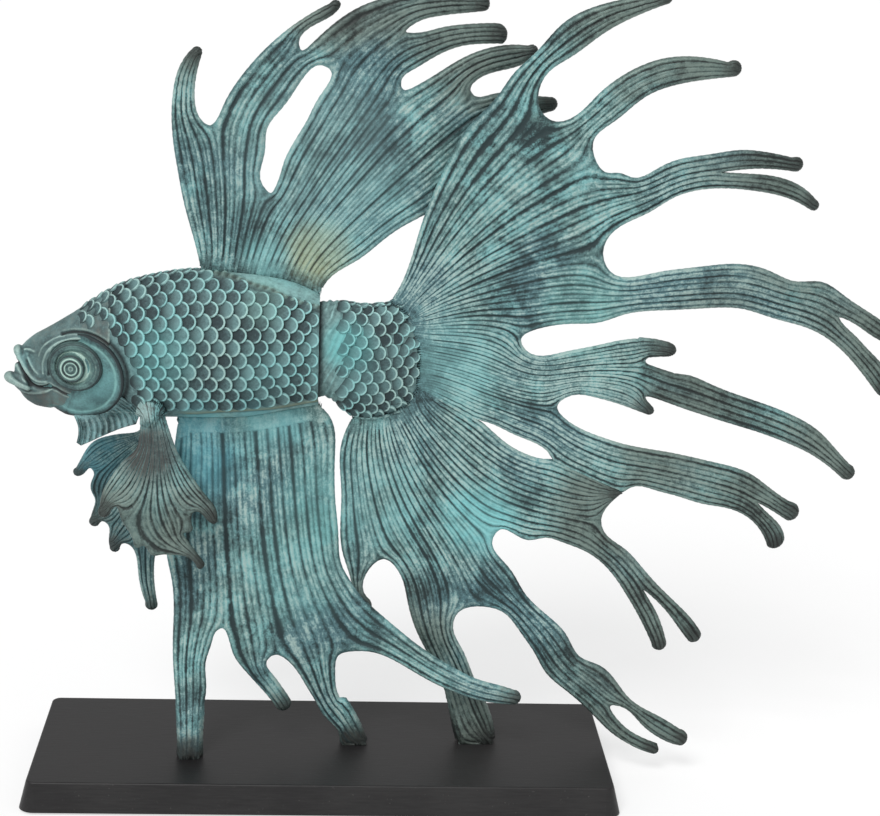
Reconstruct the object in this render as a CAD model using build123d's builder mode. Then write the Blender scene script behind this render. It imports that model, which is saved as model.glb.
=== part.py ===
import os

from build123d import *

# Fish figurine, in millimetres. A bronze fighting fish stands on three fin tips on a wooden plinth.
# +X runs from the head to the tail, -Y is the fish's left side, +Z is up.
# The origin is the centre of the felt's underside.

# Plinth and felt
plinth_length = 400.0
plinth_depth = 150.0
plinth_height = 20.0
plinth_flare = 5.0
plinth_corner_radius = 6.0
plinth_edge_radius = 1.5
felt_thickness = 1.5
felt_inset = 4.0
felt_hole_radius = 7.0

# Screws and washers under the feet, M5 socket head
screw_diameter = 5.0
screw_length = 25.0
screw_head_diameter = 8.5
screw_head_height = 5.0
screw_socket_flats = 4.0
screw_socket_depth = 2.5
screw_tip_chamfer = 0.6
thread_clearance = 0.05
washer_diameter = 10.0
washer_thickness = 1.0
washer_clearance = 0.15
counterbore_diameter = 12.0
counterbore_depth = 8.0
screw_hole_clearance = 0.25
tapped_overrun = 2.0

# Feet: width along the fin, thickness across it, and how far each stands from the middle
foot_height = 34.0
front_foot_x = -92.5
front_foot_y = -27.0
front_foot_width = 15.5
front_foot_thickness = 13.0
middle_foot_x = 21.0
middle_foot_y = -2.0
middle_foot_width = 17.0
middle_foot_thickness = 12.0
tail_foot_x = 109.5
tail_foot_y = 5.0
tail_foot_width = 25.0
tail_foot_thickness = 16.0
foot_corner_radius = 3.5
foot_corner_share = 0.45

# Fish body: the belly line above the plinth's top, and the fore body's depth and width
belly_height = 240.0
body_depth = 100.0
body_width = 58.0
body_length = 142.0
rim_x = -8.0
casting_wall = 4.0

# Head
head_length = 62.0
lip_radius = 5.0
jaw_length = 30.0
jaw_overbite = 7.0
mouth_gap = 1.8

# Sleeve joints between head, body shell and tail stem, each a spigot in a bore, with pins
sleeve_clearance = 0.15
rear_sleeve_length = 24.0
rear_bore_height = 67.6
rear_bore_width = 34.6
head_sleeve_length = 12.0
head_bore_height = 75.4
head_bore_width = 35.4
pin_diameter = 4.0
pin_length = 9.5
pin_clearance = 0.05
rear_pin_spread = 36.0
rear_pin_reach = 20.8
head_pin_spread = 43.0
head_pin_reach = 18.6

# Tail stem
stem_length = 69.0
stem_depth = 78.0
stem_width = 36.0

# Eyes and gills
eye_x = -172.5
eye_height = 273.0
eye_radius = 16.0
eye_ring_pitch = 3.2
eye_ring_depth = 1.2
eye_rise = 14.0
eye_seat = 10.0
eye_turn = 10.0
eye_tenon_radius = 4.0
eye_hole_clearance = 0.4
gill_x = -167.5
gill_height = 267.0
gill_radius = 30.0
gill_thickness = 2.6
throat_gap = 1.0
membrane_thickness = 3.0
membrane_rib_pitch = 3.4
membrane_groove_width = 1.2
membrane_groove_depth = 0.9
membrane_rib_count = 12
membrane_rib_lean = 9.0
membrane_length = 48.0
membrane_drop = 24.0
membrane_spread = 16.0

# Fins
fin_thickness = 6.0
pectoral_thickness = 4.5
tenon_thickness = 4.6
tenon_depth = 9.0
tenon_clearance = 0.1
seat_clearance = 0.15
crest_root_x = -85.0
crest_root_height = 335.0
crest_length = 200.0
crest_height = 200.0
crest_lean = 17.0
tail_root_x = 60.0
tail_root_height = 290.0
tail_length = 320.0
tail_height = 240.0
tail_wave = 10.0
lower_tail_front_x = 10.0
lower_tail_length = 250.0
anal_front_x = -100.0
anal_length = 240.0
wrist_x = -120.0
wrist_drop = 5.0
wrist_radius = 7.0
wrist_tenon_radius = 4.0
wrist_spread = 19.0
pectoral_length = 100.0
overrun = 12.0

# Heights that follow from the sizes above
base_top = felt_thickness + plinth_height
belly_z = base_top + belly_height
seam_x = rim_x - body_length
washer_seat_z = felt_thickness + counterbore_depth
head_seat_z = washer_seat_z - washer_thickness
screw_tip_z = head_seat_z + screw_length


def station(x, top_share, bottom_share, width_share):
    """Section of the fore body: its place, top, bottom and width."""
    top = belly_z + body_depth * top_share
    bottom = belly_z + body_depth * bottom_share
    return x, top, bottom, body_width * width_share


def hull(stations, grow):
    """Smooth body through upright ellipses, each grown outwards by the same wall."""
    with BuildPart() as form:
        for x, top, bottom, width in stations:
            section = Plane(origin=(x, 0, (top + bottom) / 2), x_dir=(0, 1, 0), z_dir=(1, 0, 0))
            with BuildSketch(section):
                Ellipse(width / 2 + grow, (top - bottom) / 2 + grow)
        loft()
    return form.part


def sleeve(x, length, middle_z, height, width):
    """Straight oval block along X, for a bore or a spigot."""
    with BuildPart() as block:
        with BuildSketch(Plane(origin=(x, 0, middle_z), x_dir=(0, 1, 0), z_dir=(1, 0, 0))):
            Ellipse(width / 2, height / 2)
        extrude(amount=length)
    return block.part


def sheet(rows, thickness):
    """Bent sheet of even thickness: each row gives a height and the sheet's line seen from above."""
    with BuildPart() as bent:
        for height, line in rows:
            with BuildSketch(Plane.XY.offset(height)):
                with BuildLine():
                    near = Spline(*[(x, y - thickness / 2) for x, y in line])
                    far = Spline(*[(x, y + thickness / 2) for x, y in line])
                    Line(near @ 0, far @ 0)
                    Line(near @ 1, far @ 1)
                make_face()
        loft()
    return bent.part


def outline_points(shares, corner, size):
    """Points of an outline from shares of its length and height, counted from its corner."""
    return [(corner[0] + along * size[0], corner[1] + up * size[1]) for along, up in shares]


def ragged_prism(edges_share, tips_share, root_share, corner, size):
    """Thick block with a ragged fin's outline: smooth edges, a round tip between each pair."""
    edges = [outline_points(edge, corner, size) for edge in edges_share]
    root = outline_points(root_share, corner, size)
    with BuildPart() as prism:
        with BuildSketch(Plane.XZ):
            with BuildLine():
                for edge in edges:
                    Spline(*edge)
                for before, tip, after in zip(edges, tips_share, edges[1:]):
                    if tip is None:
                        Line(before[-1], after[0])
                    else:
                        ThreePointArc(before[-1], outline_points([tip], corner, size)[0], after[0])
                Polyline(edges[-1][-1], *root, edges[0][0])
            make_face()
        extrude(amount=body_width, both=True)
    return prism.part


def block(low, high):
    """Upright block between two corners."""
    size = [top - bottom for bottom, top in zip(low, high)]
    with BuildPart() as solid:
        with BuildSketch(Plane(origin=low)):
            Rectangle(size[0], size[1], align=(Align.MIN, Align.MIN))
        extrude(amount=size[2])
    return solid.part


def foot(sections):
    """Foot of a leg: rounded blocks, each with its height, middle, width and thickness."""
    with BuildPart() as boss:
        for z, x, y, width, thickness in sections:
            corner_radius = min(foot_corner_radius, thickness * foot_corner_share)
            with BuildSketch(Plane(origin=(x, y, z))):
                RectangleRounded(width, thickness, corner_radius)
        loft()
    return boss.part


def tapped_hole(x, y):
    """Hole that takes a foot's screw, from the plinth's top up."""
    with BuildPart() as hole:
        with BuildSketch(Plane(origin=(x, y, base_top))):
            Circle(screw_diameter / 2)
        extrude(amount=screw_tip_z + tapped_overrun - base_top)
    return hole.part


# Fore body and head: along from the seam in shares of the body, then of the head
body_shares = [(0.0, 0.835, -0.005, 0.76), (0.18, 0.934, -0.022, 0.92), (0.39, 0.985, -0.03, 1.0),
               (0.63, 0.985, -0.025, 0.97), (0.845, 0.945, 0.03, 0.87), (0.93, 0.903, 0.055, 0.82),
               (1.0, 0.85, 0.075, 0.77)]
head_shares = [(1.0, 0.44, 0.26, 0.16), (0.86, 0.5, 0.13, 0.31), (0.62, 0.59, 0.03, 0.48),
               (0.31, 0.71, -0.035, 0.64)]
body_stations = [station(seam_x + body_length * along, *rest) for along, *rest in body_shares]
head_stations = [station(seam_x - head_length * along, *rest) for along, *rest in head_shares]
fish_stations = head_stations + body_stations
fish_form = hull(fish_stations, 0)
fish_seat = hull(fish_stations, seat_clearance)
fish_hollow = hull(fish_stations, -casting_wall)
seam_middle_z = (body_stations[0][1] + body_stations[0][2]) / 2
rim_middle_z = (body_stations[-1][1] + body_stations[-1][2]) / 2
collar_x = rim_x - rear_sleeve_length
head_collar_x = seam_x + head_sleeve_length

# Tail stem: a straight spigot, then ovals that taper into the tail
stem_shares = [(0.0, 0.43, -0.43, 0.94), (0.14, 0.44, -0.45, 1.0), (0.34, 0.41, -0.57, 0.94),
               (0.57, 0.41, -0.59, 0.78), (0.77, 0.41, -0.54, 0.52), (0.91, 0.28, -0.46, 0.34),
               (1.0, 0.08, -0.31, 0.2)]
stem_stations = [(rim_x + stem_length * along, rim_middle_z + stem_depth * top,
                  rim_middle_z + stem_depth * bottom, stem_width * width)
                 for along, top, bottom, width in stem_shares]
stem_form = hull(stem_stations, 0)
stem_seat = hull(stem_stations, seat_clearance)
stem_hollow = hull(stem_stations[:5], -casting_wall)
stem_end_x = rim_x + stem_length

# Felt and plinth
foot_places = {"front": (front_foot_x, front_foot_y), "middle": (middle_foot_x, middle_foot_y),
               "tail": (tail_foot_x, tail_foot_y)}
felt_length = plinth_length + 2 * plinth_flare - 2 * felt_inset
felt_depth = plinth_depth + 2 * plinth_flare - 2 * felt_inset

with BuildPart() as felt_sheet:
    with BuildSketch():
        RectangleRounded(felt_length, felt_depth, plinth_corner_radius)
        with Locations(*foot_places.values()):
            Circle(felt_hole_radius, mode=Mode.SUBTRACT)
    extrude(amount=felt_thickness)

with BuildPart() as plinth:
    with BuildSketch(Plane.XY.offset(felt_thickness)):
        RectangleRounded(plinth_length + 2 * plinth_flare, plinth_depth + 2 * plinth_flare,
                         plinth_corner_radius + plinth_flare)
    with BuildSketch(Plane.XY.offset(base_top)):
        RectangleRounded(plinth_length, plinth_depth, plinth_corner_radius)
    loft()
    fillet(plinth.edges().group_by(Axis.Z)[-1], plinth_edge_radius)
    for foot_x, foot_y in foot_places.values():
        with Locations(Plane(origin=(foot_x, foot_y, felt_thickness), z_dir=(0, 0, -1))):
            CounterBoreHole(screw_diameter / 2 + screw_hole_clearance, counterbore_diameter / 2,
                            counterbore_depth)

# Washers and screws, one pair under each foot
washers = {}
screws = {}
for foot_name, (foot_x, foot_y) in foot_places.items():
    with BuildPart() as washer:
        with BuildSketch(Plane(origin=(foot_x, foot_y, head_seat_z))):
            Circle(washer_diameter / 2)
            Circle(screw_diameter / 2 + washer_clearance, mode=Mode.SUBTRACT)
        extrude(amount=washer_thickness)
    washers[foot_name + "_foot_washer"] = washer

    with BuildPart() as screw:
        with BuildSketch(Plane(origin=(foot_x, foot_y, head_seat_z - screw_head_height))):
            Circle(screw_head_diameter / 2)
        extrude(amount=screw_head_height)
        with BuildSketch(Plane(origin=(foot_x, foot_y, head_seat_z - screw_head_height))):
            RegularPolygon(screw_socket_flats / 2, 6, major_radius=False)
        extrude(amount=screw_socket_depth, mode=Mode.SUBTRACT)
        with BuildSketch(Plane(origin=(foot_x, foot_y, head_seat_z))):
            Circle(screw_diameter / 2 - thread_clearance)
        extrude(amount=screw_length)
        chamfer(screw.edges().group_by(Axis.Z)[-1], screw_tip_chamfer)
    screws[foot_name + "_foot_screw"] = screw

# Slots in the body and the stem for the fins' tenons, each placed by shares of its fin or its seat
crest_tenon_share = (0.04, 0.24)
crest_seat_share = 0.985
crest_tenon = block((crest_root_x + crest_length * crest_tenon_share[0], -tenon_thickness / 2,
                     belly_z + body_depth * crest_seat_share - tenon_depth),
                    (crest_root_x + crest_length * crest_tenon_share[1], tenon_thickness / 2,
                     belly_z + body_depth + tenon_depth))
crest_slot = offset(crest_tenon, tenon_clearance, kind=Kind.INTERSECTION)
belly_tenon_share = (0.05, 0.25)
belly_seat_share = -0.03
belly_seat_z = belly_z + body_depth * belly_seat_share
belly_tenon = block((anal_front_x + anal_length * belly_tenon_share[0], -tenon_thickness / 2,
                     belly_seat_z - tenon_depth),
                    (anal_front_x + anal_length * belly_tenon_share[1], tenon_thickness / 2,
                     belly_seat_z + tenon_depth))
belly_slot = offset(belly_tenon, tenon_clearance, kind=Kind.INTERSECTION)
stem_tenon_start_share = 0.8
stem_tenon_height_share = (-0.1, 0.16)
stem_tenon = block((rim_x + stem_length * stem_tenon_start_share, -tenon_thickness / 2,
                    rim_middle_z + stem_depth * stem_tenon_height_share[0]),
                   (stem_end_x + tenon_depth, tenon_thickness / 2,
                    rim_middle_z + stem_depth * stem_tenon_height_share[1]))
stem_slot = offset(stem_tenon, tenon_clearance, kind=Kind.INTERSECTION)
leg_tenon_share = (0.38, 0.6)
leg_tenon_height_share = (-0.6, -0.57)
leg_tenon = block((rim_x + stem_length * leg_tenon_share[0], -tenon_thickness / 2,
                   rim_middle_z + stem_depth * leg_tenon_height_share[0] - tenon_depth),
                  (rim_x + stem_length * leg_tenon_share[1], tenon_thickness / 2,
                   rim_middle_z + stem_depth * leg_tenon_height_share[1] + tenon_depth))
leg_slot = offset(leg_tenon, tenon_clearance, kind=Kind.INTERSECTION)

# Pins of the two sleeve joints, and the holes that take them
rear_pin_places = [(collar_x + rear_sleeve_length / 2, rim_middle_z + rear_pin_spread / 2 * up)
                   for up in (-1, 1)]
head_pin_places = [(seam_x + head_sleeve_length / 2, seam_middle_z + head_pin_spread / 2 * up)
                   for up in (-1, 1)]


def pins(places, reach, radius, length):
    """Pins across both flanks, from their outer ends inwards."""
    with BuildPart() as group:
        for side in (-1, 1):
            for x, z in places:
                with BuildSketch(Plane(origin=(x, side * reach, z), x_dir=(1, 0, 0),
                                       z_dir=(0, -side, 0))):
                    Circle(radius)
                extrude(amount=length)
    return group.part


with BuildPart() as body_joint_pins:
    add(pins(rear_pin_places, rear_pin_reach, pin_diameter / 2, pin_length))

with BuildPart() as head_joint_pins:
    add(pins(head_pin_places, head_pin_reach, pin_diameter / 2, pin_length))

rear_pin_holes = pins(rear_pin_places, body_width / 2, pin_diameter / 2 + pin_clearance,
                      body_width / 2 - rear_pin_reach + pin_length)
head_pin_holes = pins(head_pin_places, body_width / 2, pin_diameter / 2 + pin_clearance,
                      body_width / 2 - head_pin_reach + pin_length)

# Wrist and eye tenons, both across the flanks
wrist_z = belly_z + wrist_drop


def flank_rod(x, z, radius, inner, outer, side):
    """Round rod that stands out of a flank, between two distances from the middle."""
    with BuildPart() as rod:
        with BuildSketch(Plane(origin=(x, side * inner, z), x_dir=(1, 0, 0),
                               z_dir=(0, side, 0))):
            Circle(radius)
        extrude(amount=outer - inner)
    return rod.part


wrist_holes = [flank_rod(wrist_x, wrist_z, wrist_tenon_radius + tenon_clearance,
                         wrist_spread / 3, wrist_spread + overrun, side) for side in (-1, 1)]
eye_z = base_top + eye_height
eye_holes = [flank_rod(eye_x, eye_z, eye_tenon_radius + tenon_clearance,
                       eye_seat / 2, eye_seat + overrun, side) for side in (-1, 1)]

# Body shell: a hollow casting, thicker where the sleeves of head and tail stem enter
fore_half = block((seam_x, -body_width, base_top), (rim_x, body_width, belly_z + 2 * body_depth))
main_hollow = block((head_collar_x, -body_width, base_top),
                    (collar_x, body_width, belly_z + 2 * body_depth))
rear_bore = sleeve(collar_x - overrun, rear_sleeve_length + 2 * overrun, rim_middle_z,
                   rear_bore_height, rear_bore_width)
head_bore = sleeve(seam_x - overrun, head_sleeve_length + 2 * overrun, seam_middle_z,
                   head_bore_height, head_bore_width)

with BuildPart() as body_cavity:
    add(fish_hollow)
    add(main_hollow, mode=Mode.INTERSECT)

with BuildPart() as body_shell:
    add(fish_form)
    add(fore_half, mode=Mode.INTERSECT)
    add([body_cavity.part, rear_bore, head_bore], mode=Mode.SUBTRACT)
    add([crest_slot, belly_slot, *wrist_holes], mode=Mode.SUBTRACT)
    for hole in [*rear_pin_holes.solids(), *head_pin_holes.solids()]:
        add(hole, mode=Mode.SUBTRACT)

# Tail stem: the spigot sits in the body shell's rear bore
spigot = sleeve(collar_x, rear_sleeve_length, rim_middle_z,
                rear_bore_height - 2 * sleeve_clearance, rear_bore_width - 2 * sleeve_clearance)
spigot_hollow = sleeve(collar_x - overrun, rear_sleeve_length + overrun, rim_middle_z,
                       rear_bore_height - 2 * casting_wall, rear_bore_width - 2 * casting_wall)

with BuildPart() as tail_stem:
    add(stem_form)
    add(spigot)
    add([spigot_hollow, stem_hollow], mode=Mode.SUBTRACT)
    add([stem_slot, leg_slot, rear_pin_holes], mode=Mode.SUBTRACT)

# Head: forehead and upper jaw, with a lower jaw that reaches past the upper lip
jaw_tip_x = seam_x - head_length - jaw_overbite
jaw_shares = [(0.0, 0.36, 0.27, 0.12), (0.2, 0.4, 0.13, 0.2), (0.5, 0.36, 0.06, 0.3),
              (1.0, 0.24, 0.02, 0.36)]
jaw_form = hull([station(jaw_tip_x + jaw_length * along, *rest)
                 for along, *rest in jaw_shares], 0)
nose_half = block((jaw_tip_x - overrun, -body_width, base_top),
                  (seam_x, body_width, belly_z + 2 * body_depth))
head_spigot = sleeve(seam_x - casting_wall, head_sleeve_length + casting_wall, seam_middle_z,
                     head_bore_height - 2 * sleeve_clearance,
                     head_bore_width - 2 * sleeve_clearance)
head_hollow_stations = head_stations[1:] + body_stations[:2]
head_hollow = hull(head_hollow_stations, -casting_wall)
head_spigot_hollow = sleeve(seam_x - overrun, head_sleeve_length + 2 * overrun, seam_middle_z,
                            head_bore_height - 2 * casting_wall,
                            head_bore_width - 2 * casting_wall)
mouth_shares = [(-0.13, 0.42), (0.1, 0.2), (0.24, 0.13)]
mouth_points = [(seam_x - head_length + head_length * along, belly_z + body_depth * up)
                for along, up in mouth_shares]

with BuildPart() as mouth:
    with BuildSketch(Plane.XZ):
        with BuildLine():
            Spline(*mouth_points)
        trace(line_width=mouth_gap)
    extrude(amount=body_width, both=True)

with BuildPart() as head_cavity:
    add(head_hollow)
    add(nose_half, mode=Mode.INTERSECT)

lip_x = seam_x - head_length
upper_lip_share = 0.4
lower_lip_share = 0.22
upper_lip_z = belly_z + body_depth * upper_lip_share
lower_lip_z = belly_z + body_depth * lower_lip_share

with BuildPart() as head:
    add(fish_form)
    add(nose_half, mode=Mode.INTERSECT)
    add(jaw_form)
    with Locations((lip_x + lip_radius / 2, 0, upper_lip_z),
                   (jaw_tip_x + lip_radius, 0, lower_lip_z)):
        Sphere(lip_radius)
    add(head_cavity.part, mode=Mode.SUBTRACT)
    add(mouth.part, mode=Mode.SUBTRACT)
    add(head_spigot)
    add([head_spigot_hollow, head_pin_holes, *eye_holes], mode=Mode.SUBTRACT)

# Eyes: turned bosses with concentric rings, their backs fitted to the flanks
eye_edge_drop_share = 0.35
eye_groove_share = 1 / 3
eye_profile = [(eye_radius, 0)]
ring_count = int(eye_radius // eye_ring_pitch)
for ring in range(ring_count, 0, -1):
    ring_radius = ring * eye_ring_pitch
    dome = eye_rise * (1 - eye_edge_drop_share * (ring_radius / eye_radius) ** 2)
    eye_profile.append((ring_radius, dome))
    eye_profile.append((ring_radius - eye_ring_pitch * eye_groove_share, dome - eye_ring_depth))
eye_profile.append((0, eye_rise))
eye_profile.append((0, 0))

eyes = {}
gill_covers = {}
gill_membranes = {}
gill_z = base_top + gill_height
gill_outer_form = hull(fish_stations, seat_clearance + gill_thickness)
membrane_top_z = gill_z - gill_radius / 2
membrane_shares = [(-0.2, -0.45), (-0.17, -0.8), (-0.1, -1.28), (-0.02, -1.36), (0.08, -1.28),
                   (0.23, -1.08), (0.55, -0.89), (0.74, -0.78), (0.75, -0.05)]
membrane_low_share = 1.4
membrane_first_rib_share = -0.14
membrane_low_z = membrane_top_z - membrane_drop * membrane_low_share
membrane_first_rib_x = gill_x + membrane_length * membrane_first_rib_share
membrane_bend_share = [
    (-0.2, [(-0.3, 0.85), (0.3, 1.0), (1.0, 1.1)]), (0.6, [(-0.3, 0.8), (0.3, 0.9), (1.0, 1.0)]),
    (1.5, [(-0.3, 0.6), (0.3, 0.65), (1.0, 0.75)])]
membrane_points = outline_points(membrane_shares, (gill_x, membrane_top_z),
                                 (membrane_length, membrane_drop))

for side_name, side in (("left", -1), ("right", 1)):
    turned = Vector(0, side, 0).rotate(Axis.Z, side * eye_turn)
    profile_normal = Vector(0, 0, 1).cross(turned)
    eye_origin = (eye_x, side * eye_seat, eye_z)
    eye_tenon = flank_rod(eye_x, eye_z, eye_tenon_radius, eye_seat / 2 + casting_wall / 2,
                          eye_seat + eye_rise, side)
    eye_hole = flank_rod(eye_x, eye_z, eye_radius + eye_hole_clearance, 0, body_width, side)
    with BuildPart() as eye:
        with BuildSketch(Plane(origin=eye_origin, x_dir=(0, 0, 1), z_dir=profile_normal)):
            with BuildLine():
                Polyline(*[(across, out) for across, out in eye_profile], close=True)
            make_face()
        revolve(axis=Axis(eye_origin, turned))
        add(fish_seat, mode=Mode.SUBTRACT)
        add(eye_tenon)
    eyes[side_name + "_eye"] = eye

    cheek = flank_rod(gill_x, gill_z, gill_radius, throat_gap / 2, body_width, side)
    with BuildPart() as gill_cover:
        add(gill_outer_form)
        add(fish_seat, mode=Mode.SUBTRACT)
        add(cheek, mode=Mode.INTERSECT)
        add([eye_hole, jaw_form], mode=Mode.SUBTRACT)
    gill_covers[side_name + "_gill_cover"] = gill_cover

    membrane_rows = [(membrane_top_z - membrane_drop * down,
                      [(gill_x + membrane_length * along, side * membrane_spread * out)
                       for along, out in line])
                     for down, line in membrane_bend_share]
    membrane_sheet = sheet(membrane_rows, membrane_thickness)
    with BuildPart() as membrane_grooves:
        for rib in range(membrane_rib_count):
            rib_x = membrane_first_rib_x + membrane_rib_pitch * rib
            with BuildSketch(Plane.XZ):
                with BuildLine():
                    Line((rib_x, membrane_top_z), (rib_x + membrane_rib_lean, membrane_low_z))
                trace(line_width=membrane_groove_width)
            extrude(amount=-side * body_width)
    membrane_skin = sheet([(height, [(x, y + side * membrane_thickness) for x, y in line])
                           for height, line in membrane_rows],
                          membrane_thickness + 2 * membrane_groove_depth)
    with BuildPart() as groove_cut:
        add(membrane_grooves.part)
        add(membrane_skin, mode=Mode.INTERSECT)
    cheek_seat = flank_rod(gill_x, gill_z, gill_radius + seat_clearance, 0, body_width, side)
    with BuildPart() as gill_membrane:
        with BuildSketch(Plane.XZ):
            with BuildLine():
                Spline(*membrane_points)
                Line(membrane_points[-1], membrane_points[0])
            make_face()
        extrude(amount=-side * body_width)
        add(membrane_sheet, mode=Mode.INTERSECT)
        add([fish_seat, cheek_seat], mode=Mode.SUBTRACT)
        add(groove_cut.part, mode=Mode.SUBTRACT)
    gill_membranes[side_name + "_gill_membrane"] = gill_membrane

# Dorsal fin: a crest of six tines with one long hole, its rear leaning away behind the tail
crest_edges_share = [
    [(-0.007, -0.02), (-0.034, 0.12), (-0.065, 0.232), (-0.088, 0.348), (-0.106, 0.47),
     (-0.104, 0.616), (-0.082, 0.7), (-0.038, 0.759)],
    [(-0.016, 0.745), (-0.034, 0.679), (-0.041, 0.62), (-0.037, 0.565), (-0.015, 0.52),
     (0.014, 0.505), (0.037, 0.525), (0.06, 0.575), (0.104, 0.652), (0.18, 0.746),
     (0.296, 0.848), (0.404, 0.913)],
    [(0.432, 0.909), (0.368, 0.857), (0.32, 0.827), (0.297, 0.785), (0.308, 0.757),
     (0.341, 0.777), (0.386, 0.821), (0.493, 0.9), (0.609, 0.94), (0.76, 0.957), (0.885, 0.95)],
    [(0.915, 0.905), (0.832, 0.895), (0.743, 0.882), (0.68, 0.86), (0.646, 0.828), (0.698, 0.823),
     (0.761, 0.839), (0.832, 0.851), (0.955, 0.858)],
    [(0.973, 0.798), (0.912, 0.797), (0.832, 0.787), (0.752, 0.754), (0.68, 0.71), (0.636, 0.668),
     (0.643, 0.637), (0.69, 0.648), (0.77, 0.697), (0.85, 0.746), (0.92, 0.774), (1.06, 0.786)],
    [(1.073, 0.752), (1.011, 0.719), (0.939, 0.701), (0.885, 0.672), (0.868, 0.643),
     (0.882, 0.62), (0.953, 0.626), (1.05, 0.624), (1.14, 0.618)],
    [(1.148, 0.577), (1.1, 0.56), (1.04, 0.52), (0.97, 0.44), (0.86, 0.33), (0.743, 0.232),
     (0.66, 0.186), (0.582, 0.129), (0.511, 0.071), (0.439, 0.027), (0.38, -0.06)]]
crest_tips_share = [(-0.022, 0.76), (0.424, 0.922), (0.922, 0.93), (0.985, 0.83), (1.092, 0.773),
                    (1.165, 0.598)]
crest_root_share = [(0.38, -0.1), (-0.007, -0.1)]
crest_hole_share = [(0.207, 0.286), (0.175, 0.35), (0.19, 0.425), (0.196, 0.5), (0.252, 0.58),
                    (0.32, 0.682), (0.37, 0.717), (0.408, 0.7), (0.372, 0.607), (0.337, 0.536),
                    (0.296, 0.464), (0.261, 0.393), (0.235, 0.31)]
crest_corner = (crest_root_x, base_top + crest_root_height)
crest_size = (crest_length, crest_height)
crest_bend_share = [
    (-0.12, [(-0.2, 0.0), (0.0, 0.0), (0.19, 0.0), (0.38, 0.0), (0.58, 0.18), (0.74, 0.38),
             (0.97, 0.75), (1.22, 1.0)]),
    (0.0, [(-0.2, 0.0), (0.0, 0.0), (0.19, 0.0), (0.38, 0.0), (0.58, 0.18), (0.74, 0.38),
           (0.97, 0.75), (1.22, 1.0)]),
    (0.45, [(-0.2, -0.22), (0.0, -0.2), (0.19, -0.12), (0.38, 0.0), (0.58, 0.2), (0.74, 0.42),
            (0.97, 0.8), (1.22, 1.05)]),
    (1.05, [(-0.2, -0.6), (0.0, -0.5), (0.19, -0.38), (0.38, -0.24), (0.58, 0.0), (0.74, 0.34),
            (0.97, 0.76), (1.22, 1.05)])]


def bend(shares, corner, size, spread):
    """Rows of a bent sheet from shares: height, then places along with how far each leans out."""
    return [(corner[1] + up * size[1],
             [(corner[0] + along * size[0], out * spread) for along, out in line])
            for up, line in shares]


crest_sheet = sheet(bend(crest_bend_share, crest_corner, crest_size, crest_lean), fin_thickness)

with BuildPart() as crest_hole:
    with BuildSketch(Plane.XZ):
        with BuildLine():
            Spline(*outline_points(crest_hole_share, crest_corner, crest_size), periodic=True)
        make_face()
    extrude(amount=body_width, both=True)

with BuildPart() as dorsal_fin:
    add(ragged_prism(crest_edges_share, crest_tips_share, crest_root_share, crest_corner,
                     crest_size))
    add(crest_sheet, mode=Mode.INTERSECT)
    add([crest_hole.part, fish_seat], mode=Mode.SUBTRACT)
    add(crest_tenon)

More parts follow.
